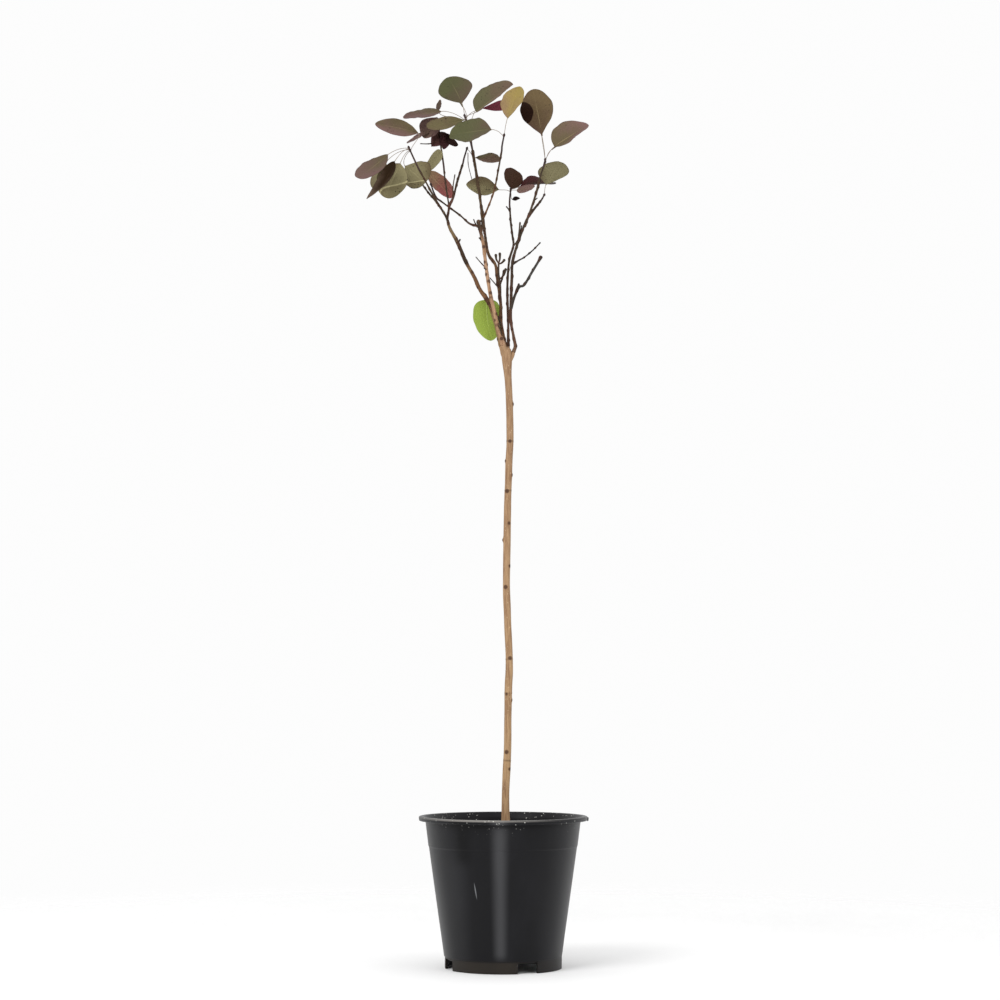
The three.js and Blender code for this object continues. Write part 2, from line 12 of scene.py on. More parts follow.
import bpy
import numpy as np
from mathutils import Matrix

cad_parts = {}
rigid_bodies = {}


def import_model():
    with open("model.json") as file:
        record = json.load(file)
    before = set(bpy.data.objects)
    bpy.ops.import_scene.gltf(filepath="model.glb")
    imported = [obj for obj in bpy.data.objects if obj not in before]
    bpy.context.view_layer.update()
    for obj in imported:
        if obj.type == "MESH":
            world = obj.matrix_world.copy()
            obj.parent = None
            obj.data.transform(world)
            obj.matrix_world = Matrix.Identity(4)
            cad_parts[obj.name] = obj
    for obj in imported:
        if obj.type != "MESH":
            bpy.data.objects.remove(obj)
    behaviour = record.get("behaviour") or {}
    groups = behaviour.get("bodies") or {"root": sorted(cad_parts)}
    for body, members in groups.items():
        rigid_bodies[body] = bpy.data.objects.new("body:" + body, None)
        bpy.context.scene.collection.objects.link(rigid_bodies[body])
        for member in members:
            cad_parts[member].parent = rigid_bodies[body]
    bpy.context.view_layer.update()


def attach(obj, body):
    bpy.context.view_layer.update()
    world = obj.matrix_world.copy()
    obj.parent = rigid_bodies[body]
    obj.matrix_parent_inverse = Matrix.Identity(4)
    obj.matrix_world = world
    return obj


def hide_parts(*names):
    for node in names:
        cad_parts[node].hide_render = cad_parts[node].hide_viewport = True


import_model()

UP = np.array([0.0, 0.0, 1.0])
MM = 0.001  # a millimetre in metres
CLEAR = 0.3  # the gap round the potting mix
STEM_LEAD = 0.35  # the share of its first span for which a stem carries straight on from its bough
BUD_TURN = 137.5  # the turn in degrees from one bud to the next
SPAN_STEPS = 24  # the steps to a span where a curve's length is measured
DOME = np.radians([30, 55, 75])  # the angles of the rings that close the end of a limb

LOG = logging.getLogger("smoke_tree")

Triple = tuple[float, float, float]
Route = tuple[Triple, ...]


def srgb(red: int, green: int, blue: int) -> Triple:
    """A screen colour as linear light: c / 12.92 where dark, else ((c + 0.055) / 1.055) to the power 2.4."""
    shares = (channel / 255 for channel in (red, green, blue))
    return tuple(c / 12.92 if c < 0.04045 else ((c + 0.055) / 1.055) ** 2.4 for c in shares)


class Chance:
    """A seeded run of numbers from 0 to 1, by the same linear congruence on 32 bits as in the source."""

    def __init__(self, seed: int) -> None:
        """Starts the run at a seed."""
        self.state = seed

    def next(self) -> float:
        """The next number: state times 1664525 plus 1013904223, modulo 2 to the 32."""
        self.state = (self.state * 1664525 + 1013904223) % 2**32
        return self.state / 2**32

    def between(self, low: float, high: float) -> float:
        """The next number, spread from low to high."""
        return low + (high - low) * self.next()


# Curves and directions


def unit(vectors: np.ndarray) -> np.ndarray:
    """Vectors brought to length 1 along their last axis."""
    return vectors / np.maximum(np.linalg.norm(vectors, axis=-1, keepdims=True), 1e-9)


def heading(bearing: float, lift: float) -> np.ndarray:
    """The direction with that bearing from +X towards +Y and that lift above level, in degrees."""
    turn, rise = math.radians(bearing), math.radians(lift)
    return np.array([math.cos(rise) * math.cos(turn), math.cos(rise) * math.sin(turn), math.sin(rise)])


def smooth(low: float, high: float, value: np.ndarray) -> np.ndarray:
    """The smooth step 3t² - 2t³ of the value's share t of the way from low to high."""
    share = np.clip((value - low) / (high - low), 0.0, 1.0)
    return share * share * (3 - 2 * share)


def catmull(route: Sequence[Sequence[float]], share: np.ndarray) -> np.ndarray:
    """Points of a uniform Catmull-Rom curve.

    Between two points the curve is a cubic whose slope at each is half the span between its neighbours. An
    end point's missing neighbour is the next point mirrored through it.

    Args:
        route: the points that the curve passes through.
        share: the places along it, from 0 to 1, each span as long as the next.

    Returns:
        The points, of shape (count, 3).
    """
    points = np.asarray(route, float)
    points = np.concatenate([[2 * points[0] - points[1]], points, [2 * points[-1] - points[-2]]])
    spans = len(points) - 3
    place = share * spans
    span = np.minimum(place.astype(int), spans - 1)
    w = (place - span)[:, None]
    before, start, end, after = (points[span + k] for k in range(4))
    leave, reach = 0.5 * (end - before), 0.5 * (after - start)
    return (start + leave * w + (3 * (end - start) - 2 * leave - reach) * w**2
            + (2 * (start - end) + leave + reach) * w**3)


def spline(route: Sequence[Sequence[float]], count: int) -> np.ndarray:
    """Points along the Catmull-Rom curve, evenly by length: each is read off the summed lengths of its steps.

    Args:
        route: the points that the curve passes through.
        count: how many points it is given as.

    Returns:
        The points, of shape (count, 3).
    """
    curve = catmull(route, np.linspace(0, 1, SPAN_STEPS * (len(route) - 1) + 1))
    run = np.concatenate([[0], np.cumsum(np.linalg.norm(np.diff(curve, axis=0), axis=1))])
    even = np.linspace(0, run[-1], count)
    return np.stack([np.interp(even, run, curve[:, axis]) for axis in range(3)], axis=1)


def bezier(handles: Sequence[np.ndarray], count: int) -> np.ndarray:
    """Points of the cubic curve with four handles: each weighs by its Bernstein share of t.

    Args:
        handles: the four handles; the curve meets the first and the last.
        count: how many points it is given as.

    Returns:
        The points, of shape (count, 3).
    """
    t = np.linspace(0, 1, count)[:, None]
    first, second, third, last = handles
    return (1 - t) ** 3 * first + 3 * t * (1 - t) ** 2 * second + 3 * t**2 * (1 - t) * third + t**3 * last


def ripples(seed: int, *places: np.ndarray, waves: int = 6, reach: float = 1.0) -> np.ndarray:
    """A smooth uneven field from -1 to 1: the mean of sines with seeded directions, rates and phases.

    Args:
        seed: where the run of numbers starts.
        places: the coordinates that the field is read at, all of one shape.
        waves: how many sines are summed.
        reach: the highest rate in turns for each unit of the coordinates.

    Returns:
        The field's values, of that shape.
    """
    chance = Chance(seed)
    total = np.zeros(np.broadcast(*places).shape)
    for _ in range(waves):
        phase = chance.between(0, 2 * math.pi)
        angle = sum(chance.between(-reach, reach) * 2 * math.pi * place for place in places)
        total = total + np.sin(angle + phase)
    return total / waves


# Surfaces


@dataclass
class Skin:
    """A closed surface in millimetres.

    points has a row for each point, quads and fans list faces by their corners, uv gives each point's place
    on the pattern, marks gives each point numbers by name, and slot says which of the piece's materials it
    takes.
    """

    points: np.ndarray
    quads: np.ndarray
    fans: np.ndarray
    uv: np.ndarray
    marks: dict[str, np.ndarray]
    slot: int = 0

    def outward(self) -> "Skin":
        """Turns the faces out: they turn round if the sum of a · (b × c) over their corners is negative.

        Returns:
            The skin itself.
        """
        triangles = np.concatenate([self.quads[:, [0, 1, 2]], self.quads[:, [0, 2, 3]], self.fans])
        a, b, c = (self.points[triangles[:, k]] for k in range(3))
        if np.einsum("ij,ij->i", a, np.cross(b, c)).sum() < 0:
            self.quads = self.quads[:, ::-1]
            self.fans = self.fans[:, ::-1]
        return self


@dataclass(frozen=True)
class Knot:
    """A scar or a stub's base on a limb: where it is, how wide it is and how high it swells."""

    place: Triple
    size: float
    height: float


def sleeve(rings: np.ndarray, marks: dict[str, np.ndarray], uv: np.ndarray | None = None,
           slot: int = 0) -> Skin:
    """Closes a grid of rings: each joins the next, and a point at the middle of each end ring closes the end.

    Args:
        rings: points of shape (rows, columns, 3); the last column joins the first.
        marks: numbers for the points by name, each of a shape that spreads to (rows, columns).
        uv: places on the pattern, of shape (rows, columns, 2); left out, they are zero.
        slot: which of the piece's materials the skin takes.

    Returns:
        The closed skin, faces out.
    """
    rows, columns = rings.shape[:2]
    row = np.arange(rows - 1)[:, None] * columns
    here = np.arange(columns)[None, :]
    beside = (here + 1) % columns
    quads = np.stack([row + here, row + beside, row + columns + beside, row + columns + here], -1)
    foot, tip = rows * columns, rows * columns + 1
    last = (rows - 1) * columns
    fans = np.concatenate([
        np.stack([np.full(columns, foot), beside[0], here[0]], -1),
        np.stack([np.full(columns, tip), last + here[0], last + beside[0]], -1),
    ])

    def with_ends(grid: np.ndarray) -> np.ndarray:
        """The grid's values in a row, with the means of its first and last ring after them."""
        ends = [ring.mean(axis=0).reshape(1, -1) for ring in (grid[0], grid[-1])]
        return np.concatenate([grid.reshape(rows * columns, -1), *ends])

    places = np.zeros((rows, columns, 2)) if uv is None else uv
    spread = {name: with_ends(np.broadcast_to(mark, (rows, columns))[..., None])[:, 0]
              for name, mark in marks.items()}
    return Skin(with_ends(rings), quads.reshape(-1, 4), fans, with_ends(places), spread, slot).outward()


def tube(path: np.ndarray, radii: np.ndarray, sides: int, relief: np.ndarray | None = None,
         knots: Sequence[Knot] = (), slot: int = 0, hue: np.ndarray | None = None) -> Skin:
    """A limb along a path, closed by a dome at each end.

    A ring's point stands at the path plus radius times (cosine across + sine out), with across square to the
    path. At an end, a ring's radius is the cosine of an angle and its distance past the end is the sine. A
    knot pushes the points near it out, by its height times e to minus the square of their distance over its
    size.

    Args:
        path: points along the middle, of shape (rows, 3).
        radii: the radius at each.
        sides: points to a ring.
        relief: factors on the radius, of shape (rows, sides).
        knots: the knots on it.
        slot: which of the piece's materials the limb takes.
        hue: how much paler, or below 0 darker, the limb is at each point of the path.

    Returns:
        The limb's skin, with the marks "along", from 0 at its foot to 1 at its tip, "scar", 1 on a knot, and
        "hue".
    """
    along = unit(np.gradient(path, axis=0))
    chord = unit(path[-1] - path[0])
    side = np.array([1.0, 0, 0]) if abs(chord[1]) > 0.9 else np.array([0, 1.0, 0])
    across = unit(np.cross(side, along))
    out = np.cross(along, across)
    angle = np.linspace(0, 2 * math.pi, sides, endpoint=False)
    factor = np.ones((len(path), sides)) if relief is None else relief
    ring = np.cos(angle)[None, :, None] * across[:, None] + np.sin(angle)[None, :, None] * out[:, None]
    rings = path[:, None] + (radii[:, None] * factor)[..., None] * ring
    push = np.zeros(rings.shape[:2])
    scar = np.zeros(rings.shape[:2])
    for knot in knots:
        near = np.exp(-np.sum((rings - np.array(knot.place)) ** 2, axis=-1) / knot.size**2)
        push += knot.height * near
        scar = np.maximum(scar, near)
    rings = rings + push[..., None] * ring
    foot = [path[0] - along[0] * radii[0] * math.sin(a) + (rings[0] - path[0]) * math.cos(a)
            for a in DOME[::-1]]
    tip = [path[-1] + along[-1] * radii[-1] * math.sin(a) + (rings[-1] - path[-1]) * math.cos(a)
           for a in DOME]
    rings = np.concatenate([foot, rings, tip])
    cap = len(DOME)
    scar = np.concatenate([scar[:1]] * cap + [scar] + [scar[-1:]] * cap)
    share = np.concatenate([np.zeros(cap), np.linspace(0, 1, len(path)), np.ones(cap)])[:, None]
    tone = np.interp(share, np.linspace(0, 1, len(path)), np.zeros(len(path)) if hue is None else hue)
    return sleeve(rings, {"along": share, "scar": scar, "hue": tone}, slot=slot)


def round_ripples(seed: int, sides: int, height: np.ndarray, waves: int = 6, reach: float = 0.6,
                  grain: float = 1.0) -> np.ndarray:
    """Ripples round a limb, read at the cosine and sine of each bearing, so that they close, and at a height.

    Args:
        seed: where the run of numbers starts.
        sides: points to a ring.
        height: the height that each ring is read at.
        waves: how many sines are summed.
        reach: the highest rate in turns for each unit of the coordinates.
        grain: a factor on the cosine and sine.

    Returns:
        The values, of shape (rings, sides).
    """
    turn = np.linspace(0, 2 * math.pi, sides, endpoint=False)
    x, y = grain * np.cos(turn), grain * np.sin(turn)
    return ripples(seed, x, y, height[:, None], waves=waves, reach=reach)


def make_object(name: str, skins: Sequence[Skin],
                materials: Sequence[bpy.types.Material]) -> bpy.types.Object:
    """Joins skins into one smooth mesh object, in metres, at the origin.

    Args:
        name: the object's name.
        skins: the closed surfaces, which all carry the same marks.
        materials: the object's materials in the order of the skins' slots.

    Returns:
        The new object, with the skins' places on the pattern as a UV map and their marks as attributes.
    """
    starts = np.cumsum([0] + [len(skin.points) for skin in skins[:-1]])
    points = np.concatenate([skin.points for skin in skins]) * MM
    quads = np.concatenate([skin.quads + start for skin, start in zip(skins, starts)])
    fans = np.concatenate([skin.fans + start for skin, start in zip(skins, starts)])
    corners = np.concatenate([quads.ravel(), fans.ravel()]).astype(np.int32)
    counts = np.concatenate([np.full(len(quads), 4), np.full(len(fans), 3)])
    slots = np.concatenate([np.full(len(skin.quads), skin.slot) for skin in skins]
                           + [np.full(len(skin.fans), skin.slot) for skin in skins])
    mesh = bpy.data.meshes.new(name)
    mesh.vertices.add(len(points))
    mesh.vertices.foreach_set("co", points.ravel())
    mesh.loops.add(len(corners))
    mesh.loops.foreach_set("vertex_index", corners)
    mesh.polygons.add(len(counts))
    mesh.polygons.foreach_set("loop_start", (np.cumsum(counts) - counts).astype(np.int32))
    mesh.polygons.foreach_set("material_index", slots.astype(np.int32))
    mesh.update(calc_edges=True)
    mesh.polygons.foreach_set("use_smooth", np.ones(len(counts), bool))
    uv = np.concatenate([skin.uv for skin in skins])[corners]
    mesh.uv_layers.new(name="pattern").data.foreach_set("uv", uv.ravel())
    for mark in skins[0].marks:
        numbers = np.concatenate([skin.marks[mark] for skin in skins])
        mesh.attributes.new(mark, "FLOAT", "POINT").data.foreach_set("value", numbers)
    for material in materials:
        mesh.materials.append(material)
    mesh.validate()
    thing = bpy.data.objects.new(name, mesh)
    bpy.context.scene.collection.objects.link(thing)
    LOG.info("%s: %d faces", name, len(counts))
    return thing


def make_piece(name: str, node: str, skins: Sequence[Skin],
               materials: Sequence[bpy.types.Material]) -> bpy.types.Object:
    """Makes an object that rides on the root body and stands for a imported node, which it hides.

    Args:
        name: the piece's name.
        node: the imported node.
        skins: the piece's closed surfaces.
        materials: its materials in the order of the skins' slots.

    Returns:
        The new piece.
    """
    piece = make_object(name, skins, materials)
    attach(piece, "root")
    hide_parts(node)
    return piece


# Shader maths

Socket = bpy.types.NodeSocket
Operand = Union["Value", float]


class Value:
    """A number in a shader. Its operators add Math nodes, so an expression on values reads as arithmetic."""

    def __init__(self, paint: "Paint", socket: Socket) -> None:
        """Holds the socket that carries the number."""
        self.paint = paint
        self.socket = socket

    def __add__(self, other: Operand) -> "Value":
        """Sum."""
        return self.paint.math("ADD", self, other)

    __radd__ = __add__

    def __sub__(self, other: Operand) -> "Value":
        """Difference."""
        return self.paint.math("SUBTRACT", self, other)

    def __rsub__(self, other: Operand) -> "Value":
        """Difference, from a plain number."""
        return self.paint.math("SUBTRACT", other, self)

    def __mul__(self, other: Operand) -> "Value":
        """Product."""
        return self.paint.math("MULTIPLY", self, other)

    __rmul__ = __mul__

    def __truediv__(self, other: Operand) -> "Value":
        """Quotient."""
        return self.paint.math("DIVIDE", self, other)

    def __pow__(self, other: Operand) -> "Value":
        """Power."""
        return self.paint.math("POWER", self, other)

    def size(self) -> "Value":
        """The number without its sign."""
        return self.paint.math("ABSOLUTE", self)

    def wave(self) -> "Value":
        """Its sine."""
        return self.paint.math("SINE", self)

    def step(self, low: float, high: float) -> "Value":
        """A smooth step from 0 at low to 1 at high."""
        return Value(self.paint, self.paint.node(
            "ShaderNodeMapRange", {"interpolation_type": "SMOOTHSTEP"},
            {"Value": self, "From Min": low, "From Max": high})["Result"])


class Paint:
    """A material in the making: one shader, and the nodes that feed it."""

    def __init__(self, name: str, **fixed: Union[float, tuple]) -> None:
        """Starts a material.

        Args:
            name: its name.
            fixed: what the shader's sockets hold all over, by name with _ for a space.
        """
        self.material = bpy.data.materials.new(name)
        self.material.use_nodes = True
        self.tree = self.material.node_tree
        self.tree.nodes.clear()
        self.shader = self.tree.nodes.new("ShaderNodeBsdfPrincipled")
        output = self.tree.nodes.new("ShaderNodeOutputMaterial")
        self.tree.links.new(self.shader.outputs["BSDF"], output.inputs["Surface"])
        for socket, value in fixed.items():
            self.shader.inputs[socket.replace("_", " ")].default_value = value

    def feed(self, node: bpy.types.Node, key: Union[str, int],
             value: Union["Value", Socket, float, tuple]) -> None:
        """Links a value or socket to an input of a node, or sets the input to a plain number or colour.

        Args:
            node: the node.
            key: the input's name or number.
            value: what it takes.
        """
        if isinstance(value, Value):
            value = value.socket
        if isinstance(value, Socket):
            self.tree.links.new(value, node.inputs[key])
        elif isinstance(value, tuple) and node.inputs[key].type == "RGBA":
            node.inputs[key].default_value = (*value[:3], 1.0)
        else:
            node.inputs[key].default_value = value

    def node(self, kind: str, settings: dict | None = None,
             inputs: dict | None = None) -> bpy.types.NodeOutputs:
        """Adds any node.

        Args:
            kind: the node's type.
            settings: its own settings, which are set first.
            inputs: what its sockets take, by name or number.

        Returns:
            The node's outputs.
        """
        node = self.tree.nodes.new(kind)
        for name, value in (settings or {}).items():
            setattr(node, name, value)
        for key, value in (inputs or {}).items():
            self.feed(node, key, value)
        return node.outputs

    def math(self, operation: str, first: Operand, second: Operand = 0.0) -> Value:
        """One Math node on two numbers."""
        return Value(self, self.node("ShaderNodeMath", {"operation": operation}, {0: first, 1: second})[0])

    def place(self) -> Socket:
        """The point on the object, in metres."""
        return self.node("ShaderNodeTexCoord")["Object"]

    def split(self, vector: Socket) -> tuple[Value, Value, Value]:
        """The three numbers of a vector."""
        parts = self.node("ShaderNodeSeparateXYZ", inputs={0: vector})
        return tuple(Value(self, part) for part in parts)

    def mark(self, name: str) -> Value:
        """A number that the mesh carries by that name."""
        return Value(self, self.node("ShaderNodeAttribute", {"attribute_name": name})["Fac"])

    def noise(self, vector: Socket, scale: float, detail: float = 3.0, stretch: Triple = (1, 1, 1)) -> Value:
        """Noise from 0 to 1.

        Args:
            vector: the coordinates that it is read at.
            scale: its bumps for each metre.
            detail: how many finer sizes are laid over it.
            stretch: factors on the coordinates, which draw it out where they are small.

        Returns:
            The noise.
        """
        spread = self.node("ShaderNodeMapping", inputs={"Vector": vector, "Scale": stretch})["Vector"]
        outputs = self.node("ShaderNodeTexNoise", inputs={"Vector": spread, "Scale": scale, "Detail": detail})
        return Value(self, outputs["Fac"])

    def cells(self, vector: Socket, scale: float) -> Value:
        """Distance from the nearest of many scattered points, so many to each metre."""
        outputs = self.node("ShaderNodeTexVoronoi", inputs={"Vector": vector, "Scale": scale})
        return Value(self, outputs["Distance"])

    def mix(self, share: Operand, first: Union[Socket, tuple], second: Union[Socket, tuple]) -> Socket:
        """A colour between two, by a share that is held to 0 to 1."""
        settings = {"data_type": "RGBA", "blend_type": "MIX", "clamp_factor": True}
        return self.node("ShaderNodeMix", settings, {0: share, 6: first, 7: second})[2]

    def finish(self, colour: Socket, roughness: Operand, height: Value | None = None,
               depth: float = 0.0002) -> bpy.types.Material:
        """Feeds the shader.

        Args:
            colour: what goes to Base Color.
            roughness: what goes to Roughness.
            height: the relief from 0 to 1, if the finish has one.
            depth: the relief's depth in metres.

        Returns:
            The finished material.
        """
        self.feed(self.shader, "Base Color", colour)
        self.feed(self.shader, "Roughness", roughness)
        if height is not None:
            bump = self.node("ShaderNodeBump", inputs={"Strength": 1.0, "Distance": depth, "Height": height})
            self.feed(self.shader, "Normal", bump["Normal"])
        return self.material


# Finishes


@dataclass(frozen=True)
class BlackPlastic:
    """The pot's moulded plastic: black, with a dusty foot, pale specks and one scratch, and with painted
    light:
    soft upright painted highlights, a painted dark reflection on the left, painted shade under the lip and
    on the foot's inner side, and a painted highlight along the lip's top edge.

    A painted highlight or the painted dark reflection is its bearing from the front and its reach, in
    degrees, then its strength and the heights between which it fades in. scratch is its two ends. foot, rim
    and lip are heights, inside is the radius of the foot's inner side, and face and slope are the radius at
    the floor and the slope of a cone that parts the wall's outside from its inside.
    """

    body: Triple = srgb(20, 20, 22)
    worn: Triple = srgb(28, 28, 31)
    # the colour of the painted highlights, upright streaks of light on the wall
    painted_highlight: Triple = srgb(58, 58, 60)
    dust: Triple = srgb(46, 41, 35)
    speck: Triple = srgb(205, 205, 198)
    # the colour of the painted shade and of the painted dark reflection
    painted_shade: Triple = srgb(8, 8, 9)
    # the colour of the painted highlight along the lip's top edge
    glint: Triple = srgb(146, 142, 137)
    scraped: Triple = srgb(128, 130, 133)
    painted_highlights: tuple[tuple[float, ...], ...] = (
        (-2.6, 9, 1.0, 10, 24), (-42, 15, 0.12, 140, 110), (64, 12, 0.12, 10, 30))
    # a painted dark reflection on the wall's left side
    painted_dark_reflection: tuple[float, ...] = (-32, 12, 0.8, 112, 130)
    scratch: tuple[Triple, Triple] = ((-31.9, -70.0, 100.8), (-28.6, -70.0, 81.3))
    foot: float = 15.0
    rim: float = 150.0
    lip: float = 163.0
    inside: float = 63.5
    face: float = 63.4
    slope: float = 0.141
    scratch_width: float = 0.7

    def material(self) -> bpy.types.Material:
        """Mixes the colours by height, bearing and noise.

        Returns:
            The plastic's material.
        """
        paint = Paint("black_plastic", Specular_IOR_Level=0.5, Specular_Tint=(0.2, 0.2, 0.2, 1))
        place = paint.place()
        x, y, z = paint.split(place)
        turn = paint.math("ARCTAN2", x, y * -1)
        cloud = paint.noise(place, 26, detail=4, stretch=(1, 1, 0.35))
        fine = paint.noise(place, 900, detail=2)

        def band(at: float, reach: float, strength: float, low: float, high: float) -> Value:
            """A soft upright stripe: it fades out sideways over its reach and in from its low to its high."""
            away = ((turn - math.radians(at)) / math.radians(reach)).size()
            return (1 - away.step(0, 1)) * z.step(low * MM, high * MM) * strength

        colour = paint.mix(cloud.step(0.4, 0.75) * 0.6, self.body, self.worn)
        # painted highlights: upright streaks of light painted on the wall
        for painted_highlight in self.painted_highlights:
            colour = paint.mix(band(*painted_highlight) * (0.75 + 0.5 * cloud), colour, self.painted_highlight)
        # a painted dark reflection: the plastic painted darker on the left of the wall
        colour = paint.mix(band(*self.painted_dark_reflection), colour, self.painted_shade)
        # painted shade in the hollow just under the lip
        below_lip = z.step((self.lip - 5) * MM, (self.lip - 1) * MM)
        above_lip = z.step(self.lip * MM, (self.lip + 1) * MM)
        shade_under_lip = below_lip * (1 - above_lip)
        colour = paint.mix(shade_under_lip * 0.6, colour, self.painted_shade)
        # a painted highlight along the top edge of the lip, across the front
        edge = z.step((self.lip + 3.6) * MM, (self.lip + 4.6) * MM) * band(-20, 75, 1.0, 0, 1)
        colour = paint.mix(edge * 0.6, colour, self.glint)
        across = (x * x + y * y) ** 0.5
        outside = across.step((self.inside - 0.5) * MM, self.inside * MM)
        low = 1 - z.step(self.foot * 0.7 * MM, self.foot * MM)
        dusty = low * outside * (0.35 + 0.65 * cloud) * (1 - 0.6 * turn.step(0.15, 0.4))
        colour = paint.mix(dusty, colour, self.dust)
        # painted shade on the inner side of the foot, seen through its notches
        colour = paint.mix(low * (1 - outside) * 0.8, colour, self.painted_shade)
        crumbs = 1 - paint.cells(place, 290).step(0.08, 0.22)
        patchy = paint.noise(place, 60, detail=2).step(0.46, 0.56)
        face = (across - z * self.slope).step((self.face - 0.3) * MM, (self.face + 0.3) * MM)
        faint = face * (1 - above_lip)
        high = z.step(self.rim * MM, (self.rim + 12) * MM)
        colour = paint.mix(crumbs * patchy * high * (0.95 - 0.7 * faint), colour, self.speck)
        (x0, _, z0), (x1, _, z1) = self.scratch
        down = (z - z1 * MM) / ((z0 - z1) * MM)
        aside = (x - x1 * MM - down * ((x0 - x1) * MM)).size()
        width = (1 - (down * 2 - 1) * (down * 2 - 1)) * (self.scratch_width * MM)
        mark = (1 - (aside - width).step(-0.0004, 0.0002)) * (1 - y.step(-0.05, -0.04))
        colour = paint.mix(mark * 0.6, colour, self.scraped)
        return paint.finish(colour, 0.34 + 0.14 * cloud + 0.3 * dusty, fine * 0.3 + cloud * 0.7, 0.00012)


@dataclass(frozen=True)
class PottingMix:
    """Moist potting mix: dark brown crumbs with paler fibres."""

    dark: Triple = srgb(38, 27, 20)
    light: Triple = srgb(92, 66, 46)

    def material(self) -> bpy.types.Material:
        """Mixes the two browns by noise at the crumbs' size.

        Returns:
            The mix's material.
        """
        paint = Paint("potting_mix", Specular_IOR_Level=0.2)
        place = paint.place()
        crumb = paint.noise(place, 220, detail=5)
        clump = paint.noise(place, 40, detail=3)
        colour = paint.mix((crumb * 0.7 + clump * 0.5).step(0.42, 0.8), self.dark, self.light)
        return paint.finish(colour, 0.85 + 0.1 * clump, crumb, 0.0012)


@dataclass(frozen=True)
class Bark:
    """Bark whose colour runs from a limb's foot to its tip, with streaks, pores and darker scars.

    turn gives the shares of the length between which the foot's colour turns into the tip's, and mottling
    says how much paler and darker patches stand out.
    """

    name: str
    foot: Triple
    tip: Triple
    streak: Triple
    pore: Triple
    turn: tuple[float, float] = (0.1, 0.9)
    roughness: float = 0.72
    mottling: float = 0.3
    shade: Triple = srgb(36, 26, 19)
    scar: Triple = srgb(62, 38, 27)

    def material(self) -> bpy.types.Material:
        """Mixes the colours by the limb's marks and by noise drawn out along the height.

        Returns:
            The bark's material.
        """
        paint = Paint(self.name, Specular_IOR_Level=0.15)
        place = paint.place()
        streaks = paint.noise(place, 620, detail=4, stretch=(1, 1, 0.09))
        patches = paint.noise(place, 60, detail=3, stretch=(1, 1, 0.5))
        colour = paint.mix(paint.mark("along").step(*self.turn), self.foot, self.tip)
        colour = paint.mix((streaks * 0.8 + patches * 0.5).step(0.5, 0.85) * 0.75, colour, self.streak)
        bands = paint.noise(place, 42, detail=3, stretch=(1, 1, 0.7))
        # paler or darker by the hue mark; on the left bough the paler stretches stand partly for painted
        # highlight
        hue = paint.mark("hue") + (bands - 0.5) * self.mottling * 4
        colour = paint.mix(hue.step(0, 1) * 0.9, colour, self.pore)
        colour = paint.mix((hue * -1).step(0, 1) * 0.9, colour, self.shade)
        drawn = paint.node("ShaderNodeMapping", inputs={"Vector": place, "Scale": (1, 1, 0.45)})["Vector"]
        pores = 1 - paint.cells(drawn, 420).step(0.1, 0.2)
        colour = paint.mix(pores * patches.step(0.4, 0.6) * 0.7, colour, self.pore)
        scar = paint.mark("scar")
        colour = paint.mix(scar.step(0.15, 0.6) * 0.85, colour, self.scar)
        height = streaks * 0.6 + patches * 0.4 + pores * 0.3
        return paint.finish(colour, self.roughness - 0.12 * patches, height, 0.0003)


TRUNK_BARK = Bark("bark_of_trunk", srgb(166, 136, 102), srgb(158, 128, 98), srgb(116, 84, 60),
                  srgb(206, 182, 150), mottling=0.15)
PALE_BARK = Bark("bark_pale", srgb(166, 132, 104), srgb(62, 48, 36), srgb(118, 86, 62), srgb(196, 162, 132),
                 (0.82, 0.9), mottling=0.2)
BROWN_BARK = Bark("bark_brown", srgb(112, 78, 52), srgb(66, 52, 36), srgb(66, 47, 31), srgb(152, 128, 92),
                  (0.2, 0.75))
DARK_BARK = Bark("bark_dark", srgb(86, 54, 40), srgb(58, 46, 34), srgb(50, 38, 30), srgb(124, 104, 80),
                 (0.05, 0.5))
GREY_BARK = Bark("bark_grey", srgb(66, 54, 46), srgb(60, 57, 53), srgb(46, 42, 38), srgb(126, 118, 106),
                 (0.05, 0.4))
SHOOT_BARK = Bark("bark_of_shoots", srgb(62, 44, 40), srgb(46, 30, 30), srgb(40, 28, 26), srgb(110, 88, 76),
                  (0.3, 1.0), 0.6, 0.2)
STALK_SKIN = Bark("skin_of_stalks", srgb(128, 116, 102), srgb(146, 134, 116), srgb(108, 86, 78),
                  srgb(160, 150, 132), (0.1, 0.9), 0.6, 0.0)


